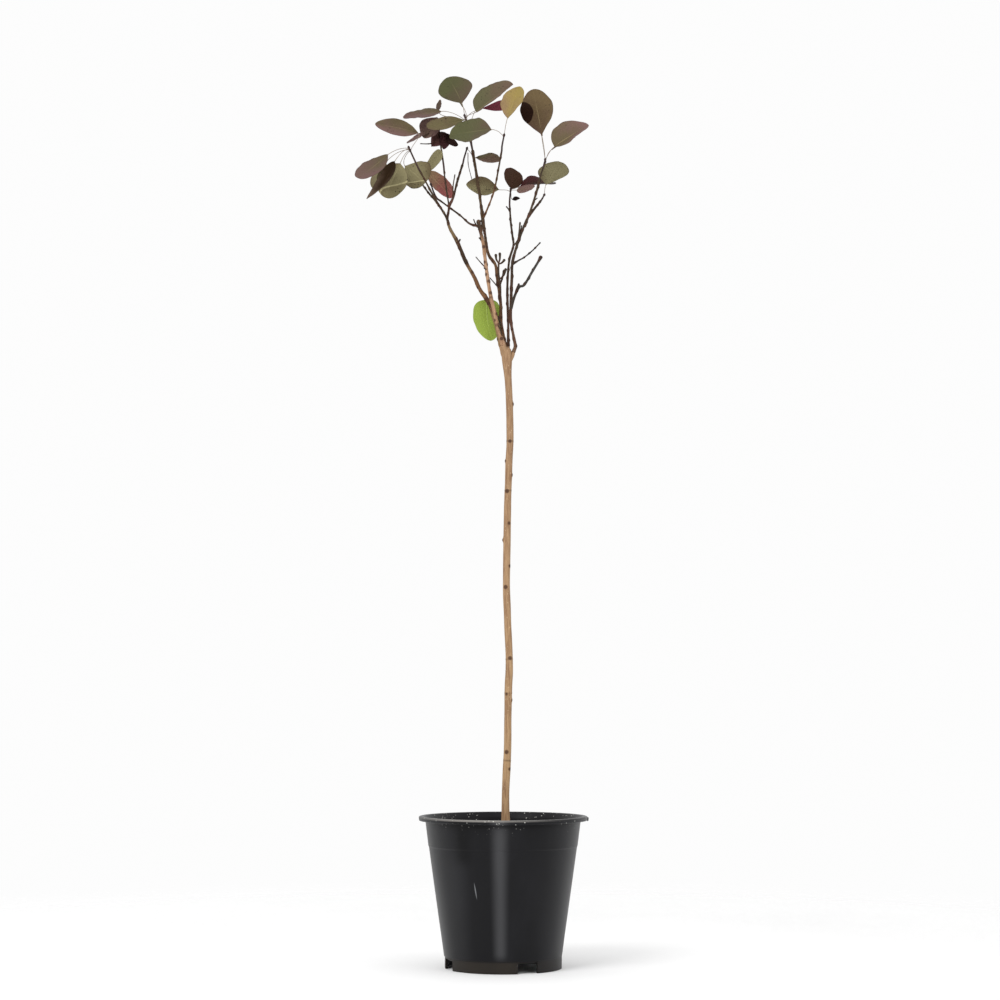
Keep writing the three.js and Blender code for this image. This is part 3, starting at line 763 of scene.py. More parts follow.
@dataclass(frozen=True)
class LeafSkin:
    """One tint of leaf: its face, the blush that spreads over it, its ribs, its rim and its dark freckles.

    edges says how much more blush stands at the edges. patch is an oval painted shadow, cast by a leaf in
    front: where it stands along and across the leaf, and how far it reaches each way. crease is a fold that
    crosses the leaf, with a painted highlight along it: where it meets the midrib, and how much further along
    it lies at the edge. The leaf is darker past it.
    """

    face: Triple
    blush: Triple
    rib: Triple
    rim: Triple = srgb(70, 50, 46)
    edges: float = 0.15
    soft: float = 0.4
    ribs: float = 0.3
    freckles: float = 0.55
    shine: float = 0.12
    roughness: float = 0.55
    # where the painted shadow of a leaf in front falls
    painted_shadow_patch: tuple[float, float, float, float] | None = None
    # the painted shadow's colour
    painted_shadow: Triple = srgb(34, 15, 6)
    crease: tuple[float, float] | None = None
    # the colour of the painted highlight along the crease
    fold: Triple = srgb(176, 168, 128)
    past_fold: Triple = srgb(80, 68, 44)
    underside: Triple = srgb(120, 108, 98)
    dark: Triple = srgb(14, 10, 10)

    def material(self, name: str) -> bpy.types.Material:
        """Draws the ribs on the leaf's own pattern, where u runs along it and v from edge to edge.

        A side rib leaves the midrib and reaches the edge nearer the tip, so it is a line of constant u less
        a fifth of v; eleven of them stand to the leaf, where the sine of eleven half turns passes zero. The
        midrib is palest at the base. The freckles crowd towards the edges.

        Args:
            name: the material's name.

        Returns:
            The leaf's material.
        """
        paint = Paint(name, Specular_IOR_Level=self.shine)
        pattern = paint.node("ShaderNodeUVMap", {"uv_map": "pattern"})["UV"]
        u, v, _ = paint.split(pattern)
        wide = v.size()
        place = paint.place()
        mottle = paint.noise(place, 55, detail=4)
        grain = paint.noise(place, 600, detail=3)
        spread = paint.mark("blush") + (mottle - 0.5) * 0.9 + (wide - 0.5) * self.edges
        colour = paint.mix(spread.step(0.5 - self.soft, 0.5 + self.soft), self.face, self.blush)
        midrib = (1 - wide.step(0.01, 0.05)) * (1 - u.step(0.3, 0.75) * 0.8)
        side = 1 - ((u - 0.2 * wide) * (11 * math.pi)).wave().size().step(0.0, 0.22)
        ribs = paint.math("MAXIMUM", midrib * 1.4, side * (1 - wide.step(0.55, 0.95)) * 0.45)
        colour = paint.mix(ribs * self.ribs, colour, self.rib)
        colour = paint.mix(wide.step(0.93, 0.99) * 0.5, colour, self.rim)
        # an oval painted shadow, cast by a leaf in front
        if self.painted_shadow_patch:
            at_u, at_v, reach_u, reach_v = self.painted_shadow_patch
            over, aside = (u - at_u) / reach_u, (v - at_v) / reach_v
            inside = 1 - (over * over + aside * aside + (mottle - 0.5) * 0.5).step(0.85, 1.0)
            colour = paint.mix(inside, colour, self.painted_shadow)
        # the leaf darker past the crease, and a painted highlight along it
        if self.crease:
            at_rib, lean = self.crease
            past = u - lean * v - at_rib + (mottle - 0.5) * 0.06
            colour = paint.mix(past.step(0.0, 0.05) * 0.35, colour, self.past_fold)
            colour = paint.mix((1 - past.size().step(0.0, 0.04)) * 0.8, colour, self.fold)
        under = paint.mark("under")
        colour = paint.mix(under * 0.35, colour, self.underside)
        crowd = paint.noise(place, 120, detail=2) + (wide - 0.5) * 0.25
        freckles = (1 - paint.cells(place, 260).step(0.12, 0.26)) * crowd.step(0.5, 0.62)
        colour = paint.node("ShaderNodeVectorMath", {"operation": "SCALE"},
                            {0: colour, "Scale": paint.mark("tone")})["Vector"]
        spots = (mottle - 0.5) * 0.5 + (grain - 0.5) * 0.3 + freckles * self.freckles
        colour = paint.mix(spots, colour, self.dark)
        height = ribs * (0.8 - 1.6 * under) + mottle * 0.5 + grain * 0.15
        return paint.finish(colour, self.roughness + 0.12 * mottle, height, 0.0004)


class Tint(Enum):
    """The tints of the leaves."""

    PLUM = "plum"
    UMBRA = "umbra"
    OLIVE = "olive"
    MAROON = "maroon"
    INK = "ink"
    RUSSET = "russet"
    BRONZE = "bronze"
    MOSS = "moss"
    CRIMSON = "crimson"
    GOLD = "gold"
    UMBER = "umber"
    SAGE = "sage"
    FOLDED = "folded"
    TURNED = "turned"
    GREEN = "green"


# Each tint by its bare name, which keeps the rows of leaves short
(PLUM, UMBRA, OLIVE, MAROON, INK, RUSSET, BRONZE, MOSS, CRIMSON, GOLD, UMBER, SAGE, FOLDED, TURNED,
 GREEN) = Tint
SAGE_SKIN = LeafSkin(srgb(124, 117, 86), srgb(90, 77, 54), srgb(152, 144, 108), freckles=0.85)
LEAF_SKINS = {
    PLUM: LeafSkin(srgb(86, 75, 54), srgb(102, 78, 74), srgb(144, 128, 94), ribs=0.4),
    UMBRA: LeafSkin(srgb(38, 25, 12), srgb(96, 80, 68), srgb(84, 62, 44), srgb(34, 20, 16), ribs=0.2,
                    shine=0.05),
    OLIVE: LeafSkin(srgb(94, 88, 58), srgb(96, 78, 64), srgb(134, 126, 88), freckles=0.7),
    MAROON: LeafSkin(srgb(64, 44, 32), srgb(78, 28, 28), srgb(96, 58, 56), srgb(40, 20, 22), shine=0.06),
    INK: LeafSkin(srgb(40, 26, 20), srgb(60, 34, 38), srgb(84, 56, 54), srgb(34, 16, 18), ribs=0.2,
                  shine=0.05),
    RUSSET: LeafSkin(srgb(124, 100, 76), srgb(136, 72, 72), srgb(176, 142, 112), ribs=0.7),
    BRONZE: LeafSkin(srgb(80, 77, 52), srgb(98, 78, 66), srgb(134, 122, 92)),
    MOSS: LeafSkin(srgb(70, 71, 44), srgb(82, 66, 56), srgb(120, 112, 80)),
    CRIMSON: LeafSkin(srgb(96, 54, 56), srgb(108, 38, 58), srgb(130, 80, 84), srgb(80, 30, 44)),
    GOLD: LeafSkin(srgb(142, 124, 66), srgb(136, 112, 80), srgb(170, 150, 100), srgb(110, 88, 54)),
    # umber leaves carry an oval painted shadow near one edge
    UMBER: LeafSkin(srgb(98, 82, 56), srgb(88, 67, 56), srgb(142, 124, 92), srgb(50, 42, 34), ribs=0.6,
                    painted_shadow_patch=(0.55, 1.0, 0.24, 0.78), shine=0.08),
    SAGE: SAGE_SKIN,
    # folded and turned leaves carry a painted highlight along a crease
    FOLDED: replace(SAGE_SKIN, crease=(0.69, -0.28)),
    TURNED: replace(SAGE_SKIN, crease=(0.86, 0.4)),
    GREEN: LeafSkin(srgb(131, 150, 62), srgb(142, 154, 78), srgb(172, 190, 106), srgb(134, 150, 80),
                    ribs=0.5, freckles=0.2),
}


# The pot and what fills it


@dataclass(frozen=True)
class Pot:
    """The round nursery pot: a turned profile whose foot is notched, with a step near its top.

    Where flush says, between two bearings, the foot stands level with the wall. uneven is how far the wall
    runs out of round. A small tab stands on the rim: the tab's values are its bearing and half its width in
    degrees, and how far it stands out and hangs down.
    """

    rim_radius: float = 95.0
    height: float = 169.0
    wall_top_radius: float = 87.4
    wall_foot_radius: float = 66.2
    wall_foot: float = 13.8
    thickness: float = 1.6
    lip: float = 4.8
    skirt_radius: float = 65.2
    skirt_thickness: float = 2.2
    floor: float = 10.4
    floor_thickness: float = 1.8
    pad_radius: float = 15.0
    notches: tuple[float, ...] = (-65, 25, 115, 200)
    notch_span: float = 21.0
    notch_height: float = 11.6
    flush: tuple[float, float] = (-54.5, 14.5)
    stack_height: float = 136.0
    uneven: float = 0.35
    tab_bearing: float = -3.0
    tab_reach: float = 1.4
    tab_out: float = 1.8
    tab_drop: float = 0.9
    row_step: float = 5.0
    column_step: float = 1.25
    finish: BlackPlastic = BlackPlastic()

    def wall(self, z: float) -> float:
        """The outer wall's radius at a height: a straight line from its foot to the lip."""
        rise = (z - self.wall_foot) / (self.height - self.lip - self.wall_foot)
        return self.wall_foot_radius + (self.wall_top_radius - self.wall_foot_radius) * rise

    def profile(self) -> np.ndarray:
        """The turned outline from the axis under the pad, round the outside, to the axis on the inner floor.

        Each corner is rounded by a quadratic curve between the two points that stand its own distance off
        along its sides. Long sides are cut into steps.

        Returns:
            Radius and height of each point, of shape (rows, 2).
        """
        lip_foot = self.height - self.lip
        inner = self.skirt_radius - self.skirt_thickness
        top = self.floor + self.floor_thickness
        step = self.stack_height
        corners = [
            (4.0, 0.0, 0.0), (self.pad_radius, 0.0, 0.8), (self.pad_radius, self.floor, 0.5),
            (inner, self.floor, 0.5), (inner, 0.0, 0.6), (self.skirt_radius, 0.0, 0.7),
            (self.skirt_radius, self.wall_foot - 0.6, 0.2),
            (self.wall_foot_radius, self.wall_foot - 0.2, 0.3),
            (self.wall(step - 1.2), step - 1.2, 0.6), (self.wall(step) + 0.45, step, 0.5),
            (self.wall_top_radius, lip_foot, 0.8), (self.rim_radius - 0.5, lip_foot - 0.2, 1.0),
            (self.rim_radius, self.height - 0.1, 2.0), (self.wall(self.height) + 1.5, self.height, 1.4),
            (self.wall(lip_foot) - self.thickness, lip_foot - 2.0, 1.5),
            (self.wall(top) - self.thickness, top, 1.5), (4.0, top, 0.0),
        ]
        points = []
        for index, (radius, height, round_off) in enumerate(corners):
            here = np.array([radius, height])
            if round_off:
                back = unit(np.array(corners[index - 1][:2]) - here) * round_off
                on = unit(np.array(corners[index + 1][:2]) - here) * round_off
                t = np.linspace(0, 1, 6)[:, None]
                bend = (1 - t) ** 2 * (here + back) + 2 * t * (1 - t) * here + t**2 * (here + on)
            else:
                bend = here[None]
            if points:
                start = points[-1][-1]
                count = int(np.linalg.norm(bend[0] - start) // self.row_step)
                if count:
                    t = np.linspace(0, 1, count + 2)[1:-1, None]
                    points.append(start + t * (bend[0] - start))
            points.append(bend)
        return np.concatenate(points)

    def bearings(self) -> np.ndarray:
        """The columns' bearings: one every column step, and a close pair at each notch's two sides.

        Returns:
            The bearings in radians, from the lowest up.
        """
        sides = [notch + half * (self.notch_span / 2 + nudge) for notch in self.notches
                 for half in (-1, 1) for nudge in (-0.15, 0.15)]
        even = np.arange(-180, 180, self.column_step)
        edges = (np.array(sides) + 180) % 360 - 180
        kept = even[np.min(np.abs(even[:, None] - edges[None]), axis=1) > 0.5]
        return np.radians(np.sort(np.concatenate([kept, edges])))

    def skin(self) -> Skin:
        """Turns the profile, lifts the foot's edge into the notches and lets the wall run a little uneven.

        Returns:
            The pot's closed skin.
        """
        outline = self.profile()
        bearing = self.bearings()[None, :]
        radius = np.repeat(outline[:, :1], bearing.shape[1], axis=1)
        height = np.repeat(outline[:, 1:], bearing.shape[1], axis=1)
        degrees = np.degrees(bearing)
        off = [np.abs((degrees - notch + 180) % 360 - 180) for notch in self.notches]
        notched = np.min(off, axis=0) < self.notch_span / 2
        inner = self.skirt_radius - self.skirt_thickness
        last_foot = int(np.argmax(outline[:, 1] > self.wall_foot))
        row = np.arange(len(outline))[:, None]
        turn = int(np.argmax((outline[:, 0] > inner + 0.4) & (outline[:, 1] < 1)))
        first_inner = int(np.argmax(outline[:, 0] > inner - 0.6))
        under = (row >= first_inner) & (row < turn)
        outside = (row >= turn) & (row < last_foot)
        lifted_in = self.floor + (self.notch_height - self.floor) * (1 - height / self.floor)
        lifted_out = self.notch_height + (self.wall_foot - self.notch_height) * height / self.wall_foot
        height = np.where(notched & under, lifted_in, height)
        height = np.where(notched & outside, lifted_out, height)
        flush = (degrees > self.flush[0]) & (degrees < self.flush[1])
        radius = np.where(flush & outside & (radius > inner + 1.5),
                          np.maximum(radius, self.wall_foot_radius - 0.25), radius)
        rise = np.clip((height - self.wall_foot) / 20, 0, 1) * (radius > 20)
        around = ripples(5, np.cos(bearing), np.sin(bearing), height / 160, reach=0.7)
        radius = radius + self.uneven * rise * around
        on_rim = smooth(self.rim_radius - 3, self.rim_radius, radius)
        tab = np.exp(-((degrees - self.tab_bearing) / self.tab_reach) ** 2) * on_rim
        radius = radius + self.tab_out * tab
        height = height - self.tab_drop * tab
        rings = np.stack([radius * np.cos(bearing), radius * np.sin(bearing), height], axis=-1)
        return sleeve(rings, {})

    def build(self) -> None:
        """Makes the pot's piece."""
        make_piece("pot_shell", "pot", [self.skin()], [self.finish.material()])


@dataclass(frozen=True)
class Soil:
    """The potting mix in the pot: a lumpy disc and the loose crumbs on it."""

    pot: Pot
    seed: int = 17
    level: float = 149.0
    edge_level: float = 146.5
    columns: int = 150
    crumbs: int = 420
    crumb_reach: float = 77.0
    crumb_least: float = 0.7
    crumb_spread: float = 2.0
    finish: PottingMix = PottingMix()

    def surface(self, radius: np.ndarray, bearing: np.ndarray) -> np.ndarray:
        """The height of the mix: it falls from the middle to the wall, with lumps from ripples at two sizes.

        Args:
            radius: the distance from the pot's axis.
            bearing: the direction in radians.

        Returns:
            The height there.
        """
        x, y = radius * np.cos(bearing), radius * np.sin(bearing)
        fall = self.level + (self.edge_level - self.level) * smooth(20, 86, radius)
        lumps = 1.3 * ripples(3, x, y, waves=9, reach=0.035) + 0.8 * ripples(8, x, y, waves=12, reach=0.12)
        return fall + 1.4 * lumps

    def disc(self) -> Skin:
        """A turned filling whose top is the surface.

        Returns:
            The filling's closed skin.
        """
        bearing = np.linspace(-math.pi, math.pi, self.columns, endpoint=False)[None, :]
        foot = self.pot.floor + self.pot.floor_thickness + CLEAR
        sides = [(self.pot.wall(z) - self.pot.thickness - CLEAR, z) for z in np.linspace(foot, 144, 8)]
        rim = self.pot.wall(self.edge_level) - self.pot.thickness - CLEAR
        low = np.array([(4.0, foot), (30.0, foot), (50.0, foot), *sides])
        radius = np.concatenate([low[:, 0], np.linspace(rim, 2.0, 46)])[:, None]
        height = np.concatenate([np.repeat(low[:, 1:], self.columns, axis=1),
                                 self.surface(radius[len(low):], bearing)])
        rings = np.stack([radius * np.cos(bearing), radius * np.sin(bearing), height], axis=-1)
        return sleeve(rings, {})

    def crumb(self, chance: Chance) -> Skin:
        """One crumb: a small ball of four rings, drawn out along a seeded direction and dented by chance.

        Args:
            chance: the run of numbers that it is drawn from.

        Returns:
            The crumb's closed skin.
        """
        radius = self.crumb_reach * math.sqrt(chance.next())
        bearing = chance.between(-math.pi, math.pi)
        size = self.crumb_least + self.crumb_spread * chance.next() ** 3
        rise = np.radians([-62, -22, 22, 62])[:, None]
        turn = np.linspace(0, 2 * math.pi, 6, endpoint=False)[None, :]
        dents = np.array([chance.between(0.75, 1.2) for _ in range(24)]).reshape(4, 6)
        long, wide, high = chance.between(0.9, 2.6), 1.0, 0.7
        ball = np.stack([np.cos(rise) * np.cos(turn) * long, np.cos(rise) * np.sin(turn) * wide,
                         np.sin(rise) * high + 0 * turn], axis=-1) * dents[..., None] * size
        twist, tilt = chance.between(0, 2 * math.pi), chance.between(-0.5, 0.5)
        along = np.array([math.cos(twist), math.sin(twist), tilt])
        aside = np.cross(UP, along)
        ball = ball @ np.stack([unit(along), unit(aside), unit(np.cross(along, aside))])
        top = float(self.surface(np.array([radius]), np.array([bearing]))[0])
        place = np.array([radius * math.cos(bearing), radius * math.sin(bearing), top + 0.3 * size])
        return sleeve(ball + place, {})

    def build(self) -> None:
        """Makes the filling and the crumbs."""
        material = self.finish.material()
        make_piece("soil_filling", "soil", [self.disc()], [material])
        chance = Chance(self.seed)
        make_piece("soil_crumbs", "soil", [self.crumb(chance) for _ in range(self.crumbs)], [material])


# The wood


@dataclass(frozen=True)
class Trunk:
    """The trunk: a tapered limb that flares at the mix and swells into the knuckle where the boughs stand.

    below is the point under the mix that it starts from. rings names the heights of the dark lines that old
    leaves left round it. The collars leave the trunk's middle at the share of its length that core says.
    """

    below: Triple = (3, 0, 146.0)
    route: Route = ((3, 0, 149.3), (3, 0, 198), (5, 1, 243), (6, 1, 310), (7, 0, 344), (4, -1, 430),
                    (6, 1, 548), (8, 1, 594), (7, 0, 640), (5, 0, 680), (4, 0, 695))
    radius: float = 4.3
    top_radius: float = 3.9
    flare: float = 3.2
    flare_height: float = 22.0
    knuckle: float = 2.2
    knuckle_at: float = 690.0
    knuckle_reach: float = 16.0
    collar: float = 5.0
    scars: tuple[Knot, ...] = (
        Knot((11.0, 0, 635.3), 2.6, 1.1), Knot((8, -4, 592.5), 2.2, 0.6), Knot((2.6, 0, 570.1), 2.0, 0.9),
        Knot((10.8, 0, 554.1), 2.2, 0.9), Knot((4.5, -3, 535.5), 2.4, 0.6), Knot((7.4, -4, 499.1), 2.2, 0.6),
        Knot((0.6, 0, 480.1), 2.2, 1.4), Knot((7.9, -3, 450.4), 2.2, 0.6), Knot((2.8, -5, 426.6), 2.4, 0.6),
        Knot((7.9, -4, 346.4), 2.2, 0.6), Knot((3.4, -4, 305.8), 2.2, 0.6), Knot((10.4, 0, 299), 2.0, 0.7),
        Knot((3.9, -3, 240.7), 2.4, 0.6), Knot((7.5, -2, 221.6), 2.0, 0.5),
    )
    rings: tuple[float, ...] = (592.9, 536.4, 306.9, 345, 231)
    rows: int = 640
    sides: int = 40
    collar_rows: int = 20
    collar_sides: int = 20
    core: float = 0.97
    bark: Bark = TRUNK_BARK

    def girth(self, z: np.ndarray) -> np.ndarray:
        """The radius at a height: a taper, plus a flare that dies away upwards, plus a swelling at the fork.

        Args:
            z: the heights.

        Returns:
            The radius at each.
        """
        foot = self.route[0][2]
        rise = (z - foot) / (self.knuckle_at - foot)
        root = self.flare * np.exp(-(z - foot) / self.flare_height * 2.5)
        swell = self.knuckle * np.exp(-(((z - self.knuckle_at) / self.knuckle_reach) ** 2))
        return self.radius + (self.top_radius - self.radius) * rise + root + swell

    def collar_skin(self, core: np.ndarray, bough: "Bough") -> Skin:
        """A short wrinkled limb from the trunk's middle into the foot of a bough.

        Args:
            core: the spot in the trunk's middle that it leaves from.
            bough: the bough.

        Returns:
            The collar's closed skin.
        """
        end = np.array(bough.route[0], float)
        along = unit(np.array(bough.route[1]) - end)
        path = spline((core, end - self.collar * along, end + 0.5 * along), self.collar_rows)
        radii = np.linspace(1.5, 1.12, self.collar_rows) * bough.girth[0]
        wrinkle = round_ripples(31, self.collar_sides, path[:, 2] / 5)
        return tube(path, radii, self.collar_sides, 1 + 0.08 * wrinkle)

    def skins(self, boughs: Sequence["Bough"]) -> list[Skin]:
        """The trunk and a short collar to the foot of each bough that stands on it.

        Args:
            boughs: all the boughs.

        Returns:
            The closed skins.
        """
        path = spline((self.below, *self.route), self.rows)
        z = path[:, 2]
        bulge = round_ripples(21, self.sides, z / 30, waves=10, reach=0.8)
        flute = round_ripples(22, self.sides, z / 90, waves=10, reach=0.9, grain=2.0)
        relief = 1 + 0.10 * bulge + 0.07 * flute
        marks = sum(np.exp(-(((z - ring) / 1.1) ** 2)) for ring in self.rings)
        radii = self.girth(z) + 0.15 * marks
        core = spline(self.route, 101)[round(self.core * 100)]
        return [tube(path, radii, self.sides, relief, self.scars, hue=-0.45 * marks),
                *(self.collar_skin(core, bough) for bough in boughs if bough.parent == "trunk")]

    def build(self, boughs: Sequence["Bough"]) -> None:
        """Makes the trunk's piece."""
        make_piece("trunk_bark", "trunk", self.skins(boughs), [self.bark.material()])


@dataclass(frozen=True)
class Bough:
    """One bough: its parent limb, its bark, its radii from foot to tip, its route, and the knots on it.

    hues names shares of its length, and how much paler, or below 0 darker, its bark is there. On the left
    bough the paler stretches stand partly for painted highlight on its lit side.
    """

    name: str
    parent: str
    bark: Bark
    girth: tuple[float, ...]
    route: Route
    knots: tuple[Knot, ...] = ()
    hues: tuple[tuple[float, float], ...] = ((0, 0),)
    buds_every: float = 11.0
    row_step: float = 1.1
    sides: int = 16

    def skin(self) -> Skin:
        """The bough with a swollen foot and tip, and with raised bud bases, each turned on from the last.

        Returns:
            The bough's closed skin.
        """
        length = float(np.linalg.norm(np.diff(np.array(self.route), axis=0), axis=1).sum())
        rows = int(length / self.row_step) + 4
        path = spline(self.route, rows)
        run = np.linspace(0, length, rows)
        chance = Chance(len(self.name) * 7 + int(length))
        radii = np.interp(run, np.linspace(0, length, len(self.girth)), self.girth)
        ends = 0.3 * np.exp(-((run / 3.5) ** 2)) + 0.25 * np.exp(-(((run - length + 1) / 2.5) ** 2))
        lumps = round_ripples(41, self.sides, run / 9)
        relief = 1 + ends[:, None] + 0.13 * lumps + 0.1 * ripples(43, run[:, None] / 24, reach=1.0)
        knots = list(self.knots)
        place = self.buds_every * chance.between(0.5, 1)
        bearing = chance.between(0, 360)
        while place < length - 4:
            row = int(place / length * (rows - 1))
            out = heading(bearing, 10) * radii[row]
            knots.append(Knot(tuple(path[row] + out), 1.3 + 0.35 * radii[row], 0.7))
            place += self.buds_every * chance.between(0.7, 1.4)
            bearing += BUD_TURN + chance.between(-20, 20)
        hue = np.interp(run / length, *zip(*self.hues))
        return tube(path, radii, self.sides, relief, knots, hue=hue)

    def build(self) -> None:
        """Makes the bough's piece."""
        make_piece(self.name + "_bark", self.name, [self.skin()], [self.bark.material()])


BOUGHS = (
    Bough("bough_pale", "trunk", PALE_BARK, (2.3, 2.1, 2.0, 1.9, 1.9, 1.9), (
        (0, -5, 703), (-5, -8, 719), (-10, -9, 741), (-15, -9, 763), (-19, -8, 790), (-22, -7, 815),
        (-25, -6, 830), (-28, -5, 845)),
        (Knot((-26, -6, 824), 2.2, 0.7), Knot((-21, -8, 797), 2.4, 0.5), Knot((-16, -9, 775), 2.6, 0.7),
         Knot((-14, -9, 756), 2.4, 0.6), Knot((-6, -8, 725), 3.0, 0.9))),
    Bough("bough_pale_twig", "bough_pale", DARK_BARK, (1.2, 0.9), (
        (-27, -5, 839), (-38, 0, 843), (-49, 8, 854), (-61, 14, 864), (-73, 20, 874))),
    Bough("bough_left", "trunk", BROWN_BARK, (2.5, 2.4, 2.1, 2.0, 1.15, 0.95), (
        (-2, 2, 703), (-7, 3, 723), (-15, 4, 750), (-26, 4, 767), (-33, 3, 782), (-43, 2, 800), (-50, 0, 817),
        (-61, -2, 838), (-65, -4, 850), (-78, -8, 871), (-94, -12, 900)),
        (Knot((-64, -4, 860), 3.4, 0.9), Knot((-60, -3, 850), 2.2, 0.4), Knot((-52, -1, 832), 2.6, 0.7),
         Knot((-51, 0, 821), 3.0, 0.5), Knot((-47, 2, 808), 2.4, 0.6), Knot((-41, 3, 799), 2.6, 0.4),
         Knot((-29, 4, 770), 2.4, 0.5), Knot((-19, 4, 756), 3.2, 0.7)),
        # paler stretches of the left bough: partly its own colour, partly painted highlight on its lit side
        ((0, 0.5), (0.17, 0.4), (0.2, -0.5), (0.25, -0.5), (0.28, 0.1), (0.39, 0.2), (0.42, 0.5),
         (0.45, 0.3), (0.47, -0.8), (0.54, -0.7), (0.59, -0.3), (0.62, 0.5), (0.69, 0.3), (0.72, -0.7),
         (0.8, -0.6), (0.84, -0.3), (1, -0.1))),
    Bough("bough_left_inner", "bough_left", DARK_BARK, (1.3, 0.9, 0.8), (
        (-64, -3, 848), (-62, 0, 862), (-64, 6, 877), (-67, 13, 899), (-68, 16, 909)),
        (Knot((-61, -3, 861), 2.4, 0.6), Knot((-51, 6, 895), 1.8, 0.5)), ((0, -0.6), (1, -0.2))),
    Bough("bough_left_middle", "bough_left_inner", DARK_BARK, (1.4, 1.3, 1.2), (
        (-62, 0, 863), (-57, 5, 875), (-53, 12, 893), (-47, 20, 915)),
        (Knot((-42, 20, 933), 2.6, 0.9),), ((0, -0.3), (1, -0.3))),
    Bough("bough_centre", "trunk", BROWN_BARK, (2.0, 1.9, 1.7, 1.65, 1.6, 1.35, 1.6, 1.7, 1.55), (
        (2, 6, 704), (-2, 7, 730), (-3, 8, 756), (-7, 10, 785), (-9, 10, 798), (-16, 10, 808), (-19, 9, 819),
        (-21, 8, 835), (-24, 8, 852), (-26, 10, 872), (-31, 14, 906), (-35, 17, 931)),
        (Knot((-18, 10, 822), 2.4, 0.6), Knot((-13, 10, 800), 3.0, 0.9), Knot((-7, 9, 776), 2.6, 0.7),
         Knot((-5, 8, 760), 2.4, 0.7), Knot((-5, 8, 735), 3.0, 0.9), Knot((-21, 9, 856), 2.2, 0.6),
         Knot((-6, 6, 773), 3.4, 0.9)),
        ((0, -0.3), (0.25, -0.3), (0.3, -0.6), (0.37, 0.1), (0.42, 0.3), (0.45, -0.4), (0.5, 0),
         (0.55, -0.6), (0.64, 0.1), (0.71, -0.1), (1, -0.1))),
    Bough("bough_centre_right", "bough_centre", BROWN_BARK, (1.0, 0.95), (
        (-23, 8, 850), (-17, 3, 863), (-10, -4, 881), (-5, -12, 905), (-2, -17, 921)),
        (Knot((-3, -18, 944), 2.4, 1.0), Knot((-7, -4, 895), 1.8, 0.5)), ((0, -0.35), (0.5, -0.1))),
    Bough("bough_right", "trunk", DARK_BARK, (1.75, 1.65, 1.55, 1.3, 0.9), (
        (12, -1, 695), (14, -1, 702), (12, -2, 713), (9, -3, 730), (9, -4, 748), (10, -5, 777), (11, -6, 798),
        (17, -6, 820), (24, -6, 839), (30, -7, 853), (37, -8, 874), (42, -9, 894), (46, -10, 906)),
        (Knot((47, -10, 916), 2.6, 1.2), Knot((38, -8, 876), 2.0, 0.5), Knot((19, -6, 823), 2.6, 0.8),
         Knot((11, -5, 798), 2.4, 0.6), Knot((10, -4, 766), 2.6, 0.7)),
        ((0, 0.3), (0.09, 0.2), (0.28, -0.2), (0.55, -0.1), (0.58, -0.5), (0.66, 0), (0.75, 0.3), (1, 0))),
    Bough("bough_right_outer", "bough_right", DARK_BARK, (1.4, 1.3), (
        (29, -7, 850), (36, -2, 860), (43, 5, 870)),
        (Knot((45, 5, 878), 2.2, 0.8),)),
    Bough("bough_back", "trunk", DARK_BARK, (1.6, 1.1), (
        (6, 7, 703), (6, 12, 731), (5, 15, 769), (7, 18, 802), (12, 20, 821), (11, 24, 833), (9, 30, 851),
        (8, 36, 868))),
    Bough("bough_rear", "bough_centre", DARK_BARK, (1.3, 1.0), (
        (-21, 8, 833), (-23, 20, 857), (-27, 34, 881), (-32, 50, 915), (-35, 58, 936))),
    Bough("bough_rear_left", "bough_left", DARK_BARK, (1.2, 1.0), (
        (-71, -6, 860), (-77, 7, 870), (-86, 21, 883), (-96, 36, 899))),
    Bough("bough_rear_right", "bough_right", DARK_BARK, (1.2, 1.0), (
        (25, -6, 839), (31, 6, 857), (38, 18, 880), (43, 28, 899), (45, 34, 909))),
    Bough("bough_low_right", "bough_right", GREY_BARK, (1.6, 1.5, 1.4, 1.3), (
        (9, -4, 745), (13, -10, 757), (18, -16, 767), (24, -20, 769), (32, -28, 781), (43, -38, 798)),
        (Knot((16, -13, 766), 2.8, 1.0), Knot((27, -20, 777), 2.2, 0.5), Knot((42, -37, 798), 2.6, 1.0)),
        ((0, 0), (0.2, -0.2), (0.3, -0.8), (0.38, -0.6), (0.45, 0), (0.9, 0.1), (1, -0.5))),
    Bough("bough_thin_right", "bough_right", GREY_BARK, (1.0, 0.7), (
        (11, -6, 795), (17, 0, 800), (25, 8, 806), (35, 18, 816), (43, 28, 826))),
)


@dataclass(frozen=True)
class Twiglet:
    """A short bare twig or stub that stands on a bough: its route and its radius at foot and tip."""

    node: str
    route: Route
    girth: tuple[float, float]
    rows: int = 26
    sides: int = 10

    def skin(self) -> Skin:
        """The twiglet with two raised rings, where its growth paused.

        Returns:
            The twiglet's closed skin.
        """
        run = np.linspace(0, 1, self.rows)
        rings = 0.22 * np.exp(-(((run - 0.38) / 0.04) ** 2)) + 0.25 * np.exp(-(((run - 0.93) / 0.05) ** 2))
        relief = np.repeat((1 + rings)[:, None], self.sides, axis=1)
        return tube(spline(self.route, self.rows), np.linspace(*self.girth, self.rows), self.sides, relief)


